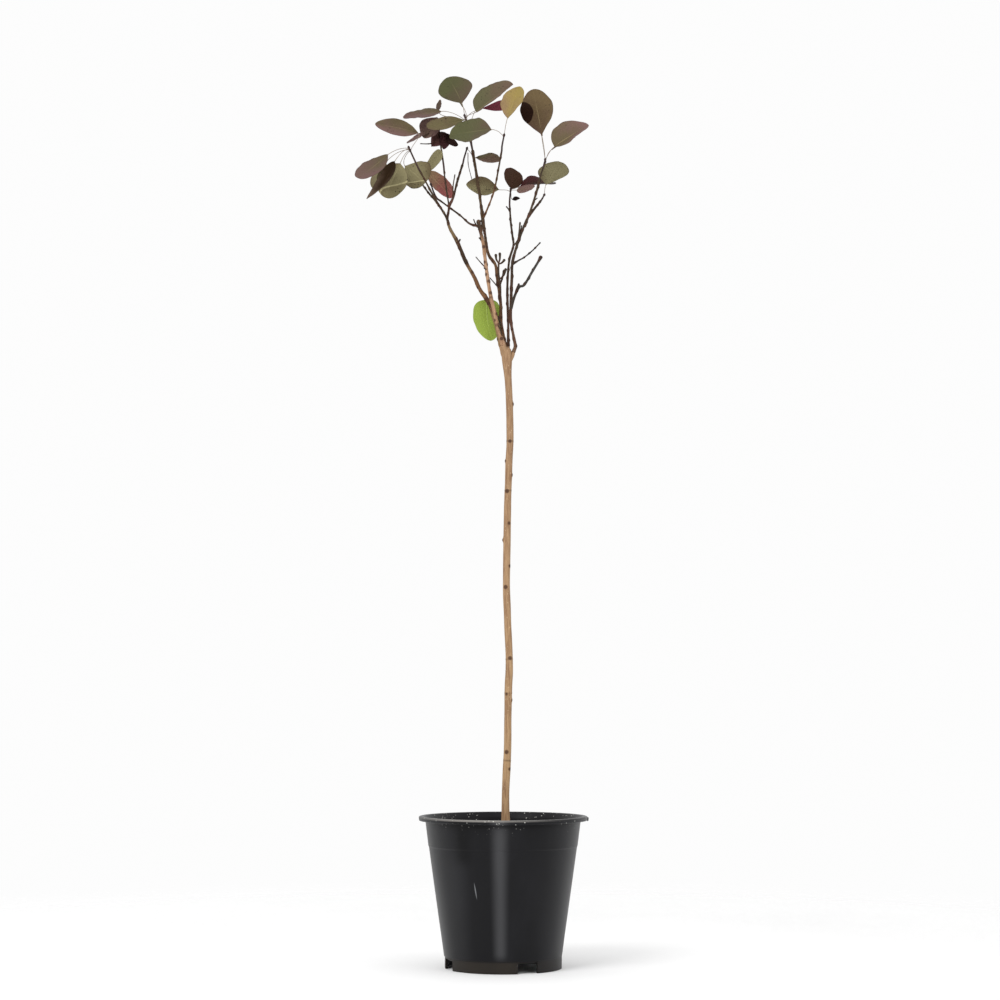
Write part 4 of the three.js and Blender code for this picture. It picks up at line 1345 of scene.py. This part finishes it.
TWIGLETS = (
    Twiglet("bough_left", ((-52, 0, 820), (-50.5, 1, 822.5), (-49.2, 2, 825)), (1.2, 0.9)),
    Twiglet("bough_pale", ((-19, -7, 790), (-25, -3, 797), (-31, 3, 805)), (0.8, 0.5)),
    Twiglet("bough_centre", ((-5, 9, 770), (-8, 4, 773), (-15, 0, 780.5)), (0.8, 0.5)),
    Twiglet("bough_left_middle", ((-57.2, 5, 875.8), (-57.4, 3, 886.2), (-55.2, 2, 900.3)), (0.8, 0.6)),
    Twiglet("bough_right", ((17, -6, 820), (18.3, -7, 830), (19.5, -7, 843)), (1.0, 0.9)),
    Twiglet("bough_right", ((18.4, -6.5, 828), (20, -5, 833), (21.4, -4, 840)), (0.8, 0.7)),
    Twiglet("bough_back", ((12, 20, 820.5), (15, 18, 824), (18, 17, 829)), (0.9, 0.8)),
    Twiglet("bough_back", ((8.6, 34, 862), (6.5, 33, 866), (4, 32, 869)), (0.8, 0.7)),
    Twiglet("bough_pale", ((-25.5, -6, 830), (-28, -7, 838), (-29.5, -7, 844)), (1.4, 1.0)),
    Twiglet("bough_pale", ((-24.5, -5, 833.5), (-24, -5, 839.5), (-24, -6, 845)), (1.3, 0.9)),
    Twiglet("bough_pale", ((-29.5, -4, 838.5), (-32, -5, 843), (-33.5, -5, 847)), (0.9, 0.6)),
    Twiglet("bough_pale", ((-27, -5, 843), (-25, -4, 846), (-23, -4, 848.5)), (0.9, 0.8)),
    Twiglet("bough_pale", ((-24, -6, 822), (-25.5, -8, 823.5), (-27, -9, 825)), (1.1, 0.8)),
    Twiglet("bough_pale", ((-18, -8, 788), (-20, -10, 789), (-21.5, -11, 790)), (1.0, 0.7)),
    Twiglet("bough_centre", ((-1, 4, 723), (-3.5, 1, 730), (-6, -1, 736)), (1.3, 0.8)),
    Twiglet("bough_centre", ((-3, 3, 728.5), (-4.5, -4, 726.5), (-7, -9, 724.5)), (1.1, 1.0)),
    Twiglet("bough_pale", ((-1, -7, 711), (-2.5, -11, 717.5), (-5, -11, 723.5)), (0.8, 0.6)),
    Twiglet("bough_low_right", ((16, -15, 765.5), (17, -14, 768), (18, -13, 771)), (1.4, 1.1)),
    Twiglet("bough_centre", ((-3, 5, 774), (-0.5, 2, 781.5), (1, 1, 789)), (1.0, 1.2)),
    Twiglet("foliage_middle", ((-40.5, 21, 929.5), (-40, 20, 915.5), (-36, 19, 898.5)), (0.5, 0.35)),
    Twiglet("foliage_upper_left", ((-81, 24, 941.5), (-88, 22, 940.5), (-95.5, 21, 940.5)), (0.8, 0.5)),
    Twiglet("bough_left", ((-41, 3, 797), (-42.5, 0, 798), (-43, -1, 799.5)), (1.1, 0.7)),
    Twiglet("bough_right", ((35.5, -8, 869), (37, -10, 869), (39, -11, 870.5)), (0.9, 0.6)),
)


def stem_route(bough: Bough, stem: Route, side: bool) -> Route:
    """A shoot's route: it carries straight on from its bough's tip for a share of its first span.

    Args:
        bough: the bough that it grows on.
        stem: the points that its plan names.
        side: whether it leaves from the side of the bough, which keeps the points as they are.

    Returns:
        The route that its stem follows.
    """
    if side:
        return stem
    before, tip = (np.array(spot, float) for spot in bough.route[-2:])
    along = unit(tip - before)
    lead = STEM_LEAD * np.linalg.norm(np.array(stem[1]) - tip)
    return (tuple(tip - 0.8 * along), tuple(tip + lead * along), *stem[1:])


@dataclass(frozen=True)
class BareSpur:
    """The bare shoot in the middle of the crown, which ends in a few short stubs that swell to a club.

    A spur is its share of the stem's length, its bearing and lift in degrees, and its length.
    """

    seed: int = 127
    radius: float = 1.1
    neck: float = 0.9
    club: float = 1.6
    stem_rows: int = 51
    stem_sides: int = 14
    rows: int = 24
    sides: int = 12
    stem: Route = ((-3, 8, 750), (-3, 1, 770), (-5, -1, 785), (-5, -2, 797))
    spurs: tuple[tuple[float, float, float, float], ...] = (
        (1, -150, 76, 10), (1, 60, 84, 12), (0.98, -10, 42, 8), (0.62, 10, 66, 14))
    bark: Bark = DARK_BARK

    def skins(self) -> list[Skin]:
        """The stem and its stubs, each of which bends at its middle by a seeded turn.

        Returns:
            The closed skins.
        """
        chance = Chance(self.seed)
        line = spline(self.stem, self.stem_rows)
        skins = [tube(line, np.full(self.stem_rows, self.radius), self.stem_sides)]
        for at, bearing, lift, length in self.spurs:
            root = line[round(at * (self.stem_rows - 1))]
            middle = root + heading(bearing, lift - 22) * length / 2
            end = middle + heading(bearing + chance.between(-20, 20), lift + 6) * length / 2
            run = np.linspace(0, 1, self.rows)
            girth = self.neck + (self.club - self.neck) * run**2.5
            relief = 1 + 0.12 * ripples(51, run[:, None] * 3, np.zeros((1, self.sides)), reach=0.8)
            skins.append(tube(spline((root, middle, end), self.rows), girth, self.sides, relief))
        return skins

    def build(self) -> None:
        """Makes the bare shoot's piece."""
        make_piece("bare_spur_bark", "bare_spur", self.skins(), [self.bark.material()])


# The leaves


@dataclass(frozen=True)
class Blade:
    """The rule that every leaf follows.

    shares are the places of its points from the midrib to the edge. edge is half its thickness there, and
    middle is what the midrib adds. nick is how uneven its width is, frill how high the fine wave at the edge
    is, quilt how high the blade swells between its ribs, and crumple the same on a dead leaf.
    """

    least: float = 0.05
    ripple: float = 0.05
    waves: float = 1.6
    rows: int = 34
    shares: tuple[float, ...] = (0, 0.02, 0.05, 0.12, 0.25, 0.42, 0.6, 0.76, 0.9, 0.97, 1)
    edge: float = 0.16
    middle: float = 0.16
    ridge: float = 0.45
    ridge_reach: float = 0.55
    nick: float = 0.05
    frill: float = 0.6
    quilt: float = 0.35
    crumple: float = 1.8
    stalk_rows: int = 22
    stalk_radius: float = 0.31

    def outline(self, u: np.ndarray, belly: float, base: float, tip: float) -> np.ndarray:
        """The half width at a share of the length: a sine whose top stands at the belly, to a power."""
        rise = np.sin(math.pi * u ** (math.log(0.5) / math.log(belly)))
        return np.maximum(self.least, np.maximum(rise, 0) ** (base + (tip - base) * u))


BLADE = Blade()
EGG = (0.53, 0.8, 0.55, 0.03)  # the plain shape of the leaves at the back


@dataclass(frozen=True)
class Leaf:
    """One leaf on its stalk. Bearings, lifts, roll, fold and curl are degrees, other sizes are millimetres.

    Its shape says where it is widest, how it closes at its base and at its tip (1 is a wedge, 0.5 is round),
    and how far it bows sideways, as a share of its length. blush is how much of its tint's second colour it
    has, lean and fade how much more of it stands at its positive edge and at its tip, and tone how bright it
    is.
    """

    stalk_bearing: float
    stalk_lift: float
    stalk: float
    bearing: float
    lift: float
    length: float
    width: float
    roll: float
    fold: float
    curl: float
    shape: tuple[float, float, float, float]
    tint: Tint
    blush: float
    lean: float = 0.0
    fade: float = 0.0
    tone: float = 1.0

    def axes(self) -> tuple[np.ndarray, np.ndarray, np.ndarray]:
        """The blade's own axes, which its bearing, lift and roll give.

        Returns:
            The directions along its midrib, across it, and out of its upper face.
        """
        along = heading(self.bearing, self.lift)
        level = unit(UP - along * along[2])
        roll = math.radians(self.roll)
        face = level * math.cos(roll) + np.cross(along, level) * math.sin(roll)
        return along, np.cross(face, along), face

    def grow(self, root: np.ndarray, stem_along: np.ndarray, chance: Chance, slot: int) -> tuple[Skin, Skin]:
        """Grows the leaf from a spot on its stem.

        The blade is a strip bent to an arc. A point's side step is half the width times the outline times v.
        Its height is the side step times the sine of the fold, plus a wave that grows with the square of v,
        plus a finer wave at the very edge, plus the swelling between the ribs. The midrib stands proud of
        the underside. The stalk is thicker at its foot and where it meets the blade.

        Args:
            root: where the stalk leaves the stem.
            stem_along: the stem's direction there.
            chance: the shoot's run of numbers.
            slot: the material slot of the leaf's tint.

        Returns:
            The blade's skin and the stalk's.
        """
        *outline, bow = self.shape
        ripple = chance.between(0, BLADE.ripple)
        phase = chance.between(0, 2 * math.pi)
        along, across, face = self.axes()
        reach = heading(self.stalk_bearing, self.stalk_lift)
        base = root + reach * self.stalk

        half = np.array(BLADE.shares)
        top = np.concatenate([-half[:0:-1], half])
        v = np.concatenate([top, top[-2:0:-1]])[None, :]
        under = np.concatenate([np.zeros(len(top)), np.ones(len(top) - 2)])[None, :]
        u = (0.5 - 0.5 * np.cos(np.linspace(0, math.pi, BLADE.rows)))[:, None]
        seed = int(phase * 1000)
        wide = 0.5 * self.width * BLADE.outline(u, *outline) * v
        thick = BLADE.edge + BLADE.middle * (1 - v**2)
        ridge = BLADE.ridge * np.exp(-((wide / BLADE.ridge_reach) ** 2)) * (1.1 - u) ** 0.7
        off = np.where(under > 0, -thick - ridge, thick)
        wide = wide * (1 + BLADE.nick * v**2 * ripples(seed + 2, u * 5, np.sign(v), reach=0.9))
        edge = BLADE.frill * v**4 * ripples(seed, u * 9, np.sign(v), reach=0.9)
        swell = BLADE.crumple if self.tint is INK else BLADE.quilt
        quilt = swell * ripples(seed + 1, u * 2.2, v * 1.1, reach=1.0)
        wave = ripple * self.width * v**2 * np.sin(2 * math.pi * BLADE.waves * u + phase)
        fold, curl = math.radians(self.fold), math.radians(self.curl)
        height = np.abs(wide) * math.sin(fold) + wave + edge + quilt * (1 - (1 - u) ** 6) + off
        turn = curl * (u - 0.5)
        arc = self.length / curl
        run = arc * (np.sin(turn) + math.sin(curl / 2)) + height * np.sin(turn)
        rise = arc * (np.cos(turn) - math.cos(curl / 2)) + height * np.cos(turn)
        aside = wide * math.cos(fold) + bow * self.length * u * (1 - u)
        rings = base + run[..., None] * along + aside[..., None] * across + rise[..., None] * face
        uv = np.stack(np.broadcast_arrays(u, v), axis=-1)
        blush = self.blush + self.lean * v + self.fade * (2 * u - 1)
        marks = {"blush": blush, "under": under, "tone": np.array([[self.tone]])}
        blade = sleeve(rings, marks, uv, slot)

        leave = unit(reach + 0.6 * stem_along)
        handles = (root, root + leave * self.stalk / 3, base - along * self.stalk * 0.3, base + along * 1.2)
        share = np.linspace(0, 1, BLADE.stalk_rows)
        girth = BLADE.stalk_radius + 0.45 * np.exp(-share / 0.05) + 0.14 * share**6
        return blade, tube(bezier(handles, BLADE.stalk_rows), girth, 8, slot=1)


@dataclass(frozen=True)
class Shoot:
    """A leafy shoot: the mass that it stands for, the bough it grows on, its seed, its stem and its leaves.

    side says whether it leaves from the side of the bough, not from its tip, and spacing how far apart its
    leaves stand, as a share of the stem.
    """

    name: str
    bough: str
    seed: int
    stem: Route
    leaves: tuple[Leaf, ...]
    side: bool = False
    spacing: float = 0.02
    rows: int = 101
    sides: int = 12

    def bud(self, tip: np.ndarray, along: np.ndarray) -> list[Skin]:
        """The bud at the stem's tip: a plump cone between two smaller scales that lean outwards.

        Args:
            tip: the end of the stem.
            along: its direction.

        Returns:
            The bud's closed skins.
        """
        chance = Chance(self.seed + 1)
        lean = unit(np.cross(along, heading(chance.between(0, 360), 0)))
        skins = []
        for tilt, length, girth in ((0.0, 3.6, 1.25), (0.55, 2.6, 0.8), (-0.6, 2.3, 0.75)):
            direction = unit(along + tilt * lean)
            run = np.linspace(0, 1, 8)
            path = tip + direction * (run * length)[:, None]
            skins.append(tube(path, girth * (1 - run**2) ** 0.6 * (0.75 + 0.6 * run) + 0.12, 8))
        return skins

    def skins(self, bough: Bough) -> tuple[list[Skin], list[Skin], list[Tint]]:
        """Grows the shoot.

        Args:
            bough: the bough that it grows on.

        Returns:
            The skins of its wood and stalks, the skins of its leaves, and the tints in the order of their
            slots.
        """
        chance = Chance(self.seed)
        route = stem_route(bough, self.stem, self.side)
        line = spline(route, self.rows)
        tangents = unit(np.gradient(line, axis=0))
        run = np.linspace(0, 1, self.rows)
        joints = sum(0.25 * np.exp(-(((run - 1 + self.spacing * order) / 0.012) ** 2))
                     for order in range(len(self.leaves)))
        relief = np.repeat((1 + joints)[:, None], self.sides, axis=1)
        stem = tube(line, np.linspace(1.1, 0.9, self.rows), self.sides, relief)
        wood = [stem, *self.bud(line[-1], tangents[-1])]
        tints = list(dict.fromkeys(leaf.tint for leaf in self.leaves))
        blades = []
        for order, leaf in enumerate(self.leaves):
            at = self.spacing * order
            root, ahead = catmull(route, np.array([1 - at, 1.001 - at]))
            blade, stalk = leaf.grow(root, unit(ahead - root), chance, tints.index(leaf.tint))
            blades.append(blade)
            wood.append(stalk)
        return wood, blades, tints

    def build(self, bough: Bough, skins_of_leaves: dict[Tint, bpy.types.Material]) -> None:
        """Makes the shoot's two pieces: its stem with the stalks, and its leaves.

        Args:
            bough: the bough that it grows on.
            skins_of_leaves: the leaf materials by tint.
        """
        wood, blades, tints = self.skins(bough)
        make_piece(self.name + "_stalks", self.name, wood, [SHOOT_BARK.material(), STALK_SKIN.material()])
        make_piece(self.name + "_leaves", self.name, blades, [skins_of_leaves[tint] for tint in tints])


SHOOTS = (
    Shoot("foliage_left", "bough_left", 11, ((-94, -12, 900), (-102, -14, 916), (-107, -15, 927)), (
        Leaf(-169, -18, 26, -157, -39, 47, 31, -35, 3, 4,
             (0.59, 0.6, 0.35, 0.21), PLUM, 0.5, 0.1, 0.35, 0.92),
        Leaf(-138, -38, 28, -152, -53, 58, 17, -44, 27, 4, (0.36, 1.2, 0.69, 0.35), UMBRA, 0.3, 0, 0.45),
        Leaf(166, -26, 32, 140, -50, 33, 25, -72, 3, 11, (0.54, 0.4, 0.42, 0.21), SAGE, 0.4),
        Leaf(176, -53, 19, -166, -67, 44, 36, -79, 13, 23,
             (0.51, 0.75, 0.46, -0.05), FOLDED, 0.4, -0.3, -0.1, 1.1),
        Leaf(114, -42, 22, 6, -41, 30, 42, 74, 14, 17,
             (0.59, 0.71, 0.41, 0.01), TURNED, 0.35, 0.15, 0.1, 1.08),
        Leaf(39, 65, 25, -165, 9, 51, 20, -95, 18, 15, (0.5, 0.85, 0.57, -0.06), PLUM, 0.5, 0.35, 0.15, 1.08),
    )),
    Shoot("foliage_upper_left", "bough_left_inner", 23,
          ((-68, 16, 909), (-70, 20, 925), (-72, 23, 939), (-74, 25, 956)), (
        Leaf(-115, 70, 16, -145, -56, 32, 26, -50, 14, 10, (0.53, 0.86, 0.59, 0.01), PLUM, 0.7, 0, 0, 1.08),
        Leaf(-136, 5, 11, -157, -30, 36, 13, -20, 11, 4, (0.47, 0.77, 0.5, 0.07), PLUM, 0.8, 0, 0, 1.15),
        Leaf(-64, -7, 7, -153, -52, 22, 17, -87, 20, 31, (0.51, 0.55, 0.99, -0.09), INK, 0.4, 0.1, 0.2, 1.8),
        Leaf(-61, 17, 7, -11, -85, 21, 15, 46, 23, 34, (0.47, 0.57, 0.59, -0.02), INK, 0.4, 0, 0.3, 1.3),
        Leaf(-40, 11, 10, -28, -46, 23, 10, 100, 24, 37, (0.53, 0.85, 0.4, -0.13), INK, 0.3, 0, 0, 0.8),
        Leaf(-80, -62, 20, 159, -49, 31, 13, -98, 3, 4, (0.36, 0.5, 0.35, 0.16), SAGE, 0.1),
    )),
    Shoot("foliage_inner_left", "bough_pale_twig", 31, ((-73, 20, 874), (-80, 24, 884), (-83, 27, 893)), (
        Leaf(117, 52, 24, 23, -39, 43, 27, 66, 10, 8, (0.53, 0.58, 0.4, -0.12), RUSSET, 0.5, -0.1, 0.4, 1.2),
    )),
    Shoot("foliage_middle", "bough_left_middle", 43, ((-47, 20, 915), (-45, 23, 924), (-42, 26, 935)), (
        Leaf(-12, -47, 14, -26, -11, 34, 16, 57, 15, 8, (0.61, 0.79, 0.61, 0.01), BRONZE, 0.6, -0.35, 0, 1.3),
    )),
    Shoot("foliage_top", "bough_centre", 59, ((-35, 17, 931), (-38, 19, 950), (-44, 20, 972)), (
        Leaf(150, 76, 17, 133, 55, 42, 41, -40, 5, 10,
             (0.5, 1.03, 0.61, -0.04), MOSS, 0.35, -0.25, -0.3, 1.08),
        Leaf(-32, 18, 16, -8, 36, 53, 41, 46, 26, 4,
             (0.37, 0.63, 0.41, -0.04), BRONZE, 0.5, -0.35, 0.25, 1.1),
        Leaf(24, 35, 25, 16, 14, 34, 12, 97, 11, 13, (0.66, 0.59, 0.53, -0.12), CRIMSON, 0.6, 0, 0.2, 1.1),
        Leaf(-100, -10, 12, -164, -15, 46, 17, -68, 13, 14, (0.57, 0.7, 0.35, 0.07), OLIVE, 0.35, 0, 0.2),
        Leaf(-161, 17, 32, -164, -13, 46, 24, -35, 5, 10,
             (0.42, 0.88, 0.41, 0.11), PLUM, 0.55, 0.35, 0.3, 0.88),
        Leaf(-170, 20, 35, 72, 68, 16, 8, -20, 10, 8, (0.46, 0.8, 0.64, 0.01), PLUM, 0.5, 0, 0, 0.6),
    )),
    Shoot("foliage_top_centre", "bough_centre_right", 61, ((-2, -17, 921), (-1, -18, 930), (1, -20, 940)), (
        Leaf(-44, 74, 21, 13, 69, 40, 39, 29, 8, 7, (0.55, 0.74, 0.64, 0.01), GOLD, 0.5, 0.15, -0.3),
        Leaf(-156, 25, 17, 169, -6, 49, 49, -45, 8, 11, (0.47, 0.89, 0.44, 0.08), MOSS, 0.3, 0, -0.3, 1.18),
    )),
    Shoot("foliage_top_right", "bough_right", 71, ((46, -10, 906), (47, -10, 910), (48, -10, 914)), (
        Leaf(112, 74, 32, 137, 76, 58, 39, -58, 3, 7, (0.55, 1.11, 0.55, -0.03), UMBER, 0.4, 0.2, -0.2, 0.95),
        Leaf(-36, 48, 20, -5, 32, 46, 42, 50, 25, 5, (0.36, 0.72, 0.58, -0.03), PLUM, 0.5, -0.15, 0.45, 1.2),
    )),
    Shoot("foliage_lower_right", "bough_right_outer", 83, ((43, 5, 870), (45, 6, 873), (47, 8, 877)), (
        Leaf(57, 71, 15, 41, 54, 36, 40, 22, 3, 6, (0.54, 0.78, 0.65, -0.08), SAGE, 0.2, 0.2, -0.15, 0.82),
    )),
    Shoot("foliage_back", "bough_back", 97, ((8, 36, 868), (8, 41, 881), (9, 45, 891)), (
        Leaf(-5, 17, 11, 34, 11, 45, 42, 21, 14, 24, (0.66, 0.67, 0.35, -0.12), MAROON, 0.5, 0.5, 0, 0.64),
        Leaf(72, 35, 4, 81, 67, 29, 26, 37, 14, 14, (0.53, 0.53, 0.56, 0.1), MAROON, 0.15, 0, 0.1),
        Leaf(-49, -3, 11, -31, 4, 24, 13, 57, 3, 4, (0.43, 0.7, 0.35, -0.19), PLUM, 0.7, 0, 0, 1.4),
        Leaf(-68, -65, 11, -41, -1, 12, 5, 94, 10, 10, (0.5, 0.81, 0.65, 0.04), INK, 0.4, 0, 0, 0.5),
        Leaf(-143, 2, 17, -167, 7, 39, 22, -95, 11, 12, (0.52, 0.94, 0.66, -0.07), SAGE, 0.5, -0.35),
    )),
    Shoot("foliage_rear", "bough_rear", 103, ((-35, 58, 936), (-38, 66, 952), (-41, 72, 966)), (
        Leaf(46, 34, 18, 147, -13, 34, 29, -44, 12, 14, EGG, PLUM, 0.6),
        Leaf(111, 62, 39, 158, 50, 41, 35, 12, 10, 12, EGG, OLIVE, 0.3),
        Leaf(39, 66, 38, 32, 47, 41, 31, 6, 10, 12, EGG, OLIVE, 0.5),
        Leaf(77, 11, 23, 95, 13, 37, 29, -8, 14, 16, EGG, MAROON, 0.5),
    )),
    Shoot("foliage_rear_left", "bough_rear_left", 107, ((-96, 36, 899), (-100, 44, 908), (-106, 50, 914)), (
        Leaf(156, 11, 27, 133, -18, 35, 30, -75, 12, 16, EGG, OLIVE, 0.4),
        Leaf(89, 20, 13, 76, -11, 31, 28, -10, 12, 16, EGG, PLUM, 0.6),
        Leaf(131, 10, 21, 119, -2, 35, 29, -45, 12, 16, EGG, PLUM, 0.4),
    )),
    Shoot("foliage_rear_right", "bough_rear_right", 109, ((45, 34, 909), (47, 39, 916), (49, 43, 923)), (
        Leaf(111, 75, 38, 80, 76, 45, 34, -32, 10, 14, EGG, BRONZE, 0.5),
        Leaf(44, 57, 21, -5, 27, 31, 24, 12, 12, 14, EGG, PLUM, 0.6),
        Leaf(28, -27, 4, 9, -18, 25, 21, 17, 12, 14, EGG, OLIVE, 0.4),
    )),
    Shoot("leaf_at_fork", "bough_left", 113, ((-15, 4, 750), (-16, 8, 752), (-17, 11, 755)), (
        Leaf(158, 40, 3, -22, -83, 48, 34, 58, 6, 4, (0.4, 0.4, 0.5, -0.11), GREEN, 0.1, 0, 0, 1.08),
    ), side=True),
)


# The studio


@dataclass(frozen=True)
class Studio:
    """The plain pale floor, the soft light and the camera, which looks along +Y and a little up.

    A light is its name, its place and the point that it faces in metres, its width and height, and its watts.
    """

    camera_at: Triple = (-0.00341, -2.8, 0.3223)
    camera_pitch: float = 0.0724895
    lens: float = 88.93
    sensor: float = 36.0
    floor_radius: float = 1600.0
    sky: float = 0.98
    lights: tuple[tuple, ...] = (
        ("key", (-1.5, -2.0, 2.2), (0, 0, 0.6), (1.4, 1.4), 42),
        ("fill", (1.8, -1.6, 1.2), (0, 0, 0.6), (1.6, 1.6), 10),
        ("strip", (0.0, -0.9, 0.02), (0, 0, 0.1), (0.05, 0.5), 1.2),
    )

    def floor(self) -> None:
        """A round pale floor that fades out into the backdrop."""
        far = self.floor_radius
        radius = np.concatenate([np.linspace(40, far, 40), np.linspace(far, 40, 4)])[:, None]
        height = np.concatenate([np.full(40, -0.2), np.full(4, -6.0)])[:, None]
        turn = np.linspace(0, 2 * math.pi, 96, endpoint=False)[None, :]
        rings = np.stack([radius * np.cos(turn), radius * np.sin(turn), height + 0 * turn], axis=-1)
        paint = Paint("pale_floor", Specular_IOR_Level=0.1)
        x, y, _ = paint.split(paint.place())
        away = (x * x + y * y) ** 0.5
        paint.feed(paint.shader, "Alpha", 1 - away.step(0.35, 1.3))
        cloud = paint.noise(paint.place(), 6, detail=2)
        colour = paint.mix(cloud, srgb(240, 240, 240), srgb(246, 246, 246))
        slab = make_object("floor", [sleeve(rings, {})], [paint.finish(colour, 0.7)])

    def light(self, name: str, place: Triple, aim: Triple, size: tuple[float, float], power: float) -> None:
        """Adds a soft rectangular light.

        Args:
            name: its name.
            place: where it stands, in metres.
            aim: the point that it faces.
            size: its width and height.
            power: its power in watts.
        """
        data = bpy.data.lights.new(name, "AREA")
        data.shape = "RECTANGLE"
        data.size, data.size_y = size
        data.energy = power
        lamp = bpy.data.objects.new(name, data)
        lamp.location = place
        toward = np.array(aim) - np.array(place)
        lamp.rotation_euler = (math.atan2(math.hypot(toward[0], toward[1]), -toward[2]), 0,
                               math.atan2(-toward[0], toward[1]))
        bpy.context.scene.collection.objects.link(lamp)

    def build(self) -> None:
        """Sets up the floor, the lights, the backdrop and the camera."""
        self.floor()
        for light in self.lights:
            self.light(*light)
        world = bpy.data.worlds.new("backdrop")
        world.use_nodes = True
        background = world.node_tree.nodes["Background"]
        background.inputs["Color"].default_value = (1, 1, 1, 1)
        background.inputs["Strength"].default_value = self.sky
        bpy.context.scene.world = world
        bpy.context.scene.view_settings.view_transform = "Standard"
        data = bpy.data.cameras.new("camera")
        data.lens = self.lens
        data.sensor_width = self.sensor
        camera = bpy.data.objects.new("camera", data)
        camera.location = self.camera_at
        camera.rotation_euler = (math.pi / 2 + self.camera_pitch, 0, 0)
        bpy.context.scene.collection.objects.link(camera)
        bpy.context.scene.camera = camera


def build_twiglets() -> None:
    """Makes one piece of bare twiglets for each bough that carries any."""
    material = DARK_BARK.material()
    for node in dict.fromkeys(twiglet.node for twiglet in TWIGLETS):
        skins = [twiglet.skin() for twiglet in TWIGLETS if twiglet.node == node]
        make_piece(node + "_twiglets", node, skins, [material])


def main() -> None:
    """Builds every piece in order."""
    logging.basicConfig(level=logging.INFO, format="%(name)s %(message)s")
    pot = Pot()
    pot.build()
    Soil(pot).build()
    Trunk().build(BOUGHS)
    for bough in BOUGHS:
        bough.build()
    build_twiglets()
    BareSpur().build()
    leaf_skins = {tint: skin.material("leaf_" + tint.value) for tint, skin in LEAF_SKINS.items()}
    boughs = {bough.name: bough for bough in BOUGHS}
    for shoot in SHOOTS:
        shoot.build(boughs[shoot.bough], leaf_skins)
    Studio().build()


if __name__ == "__main__":
    main()
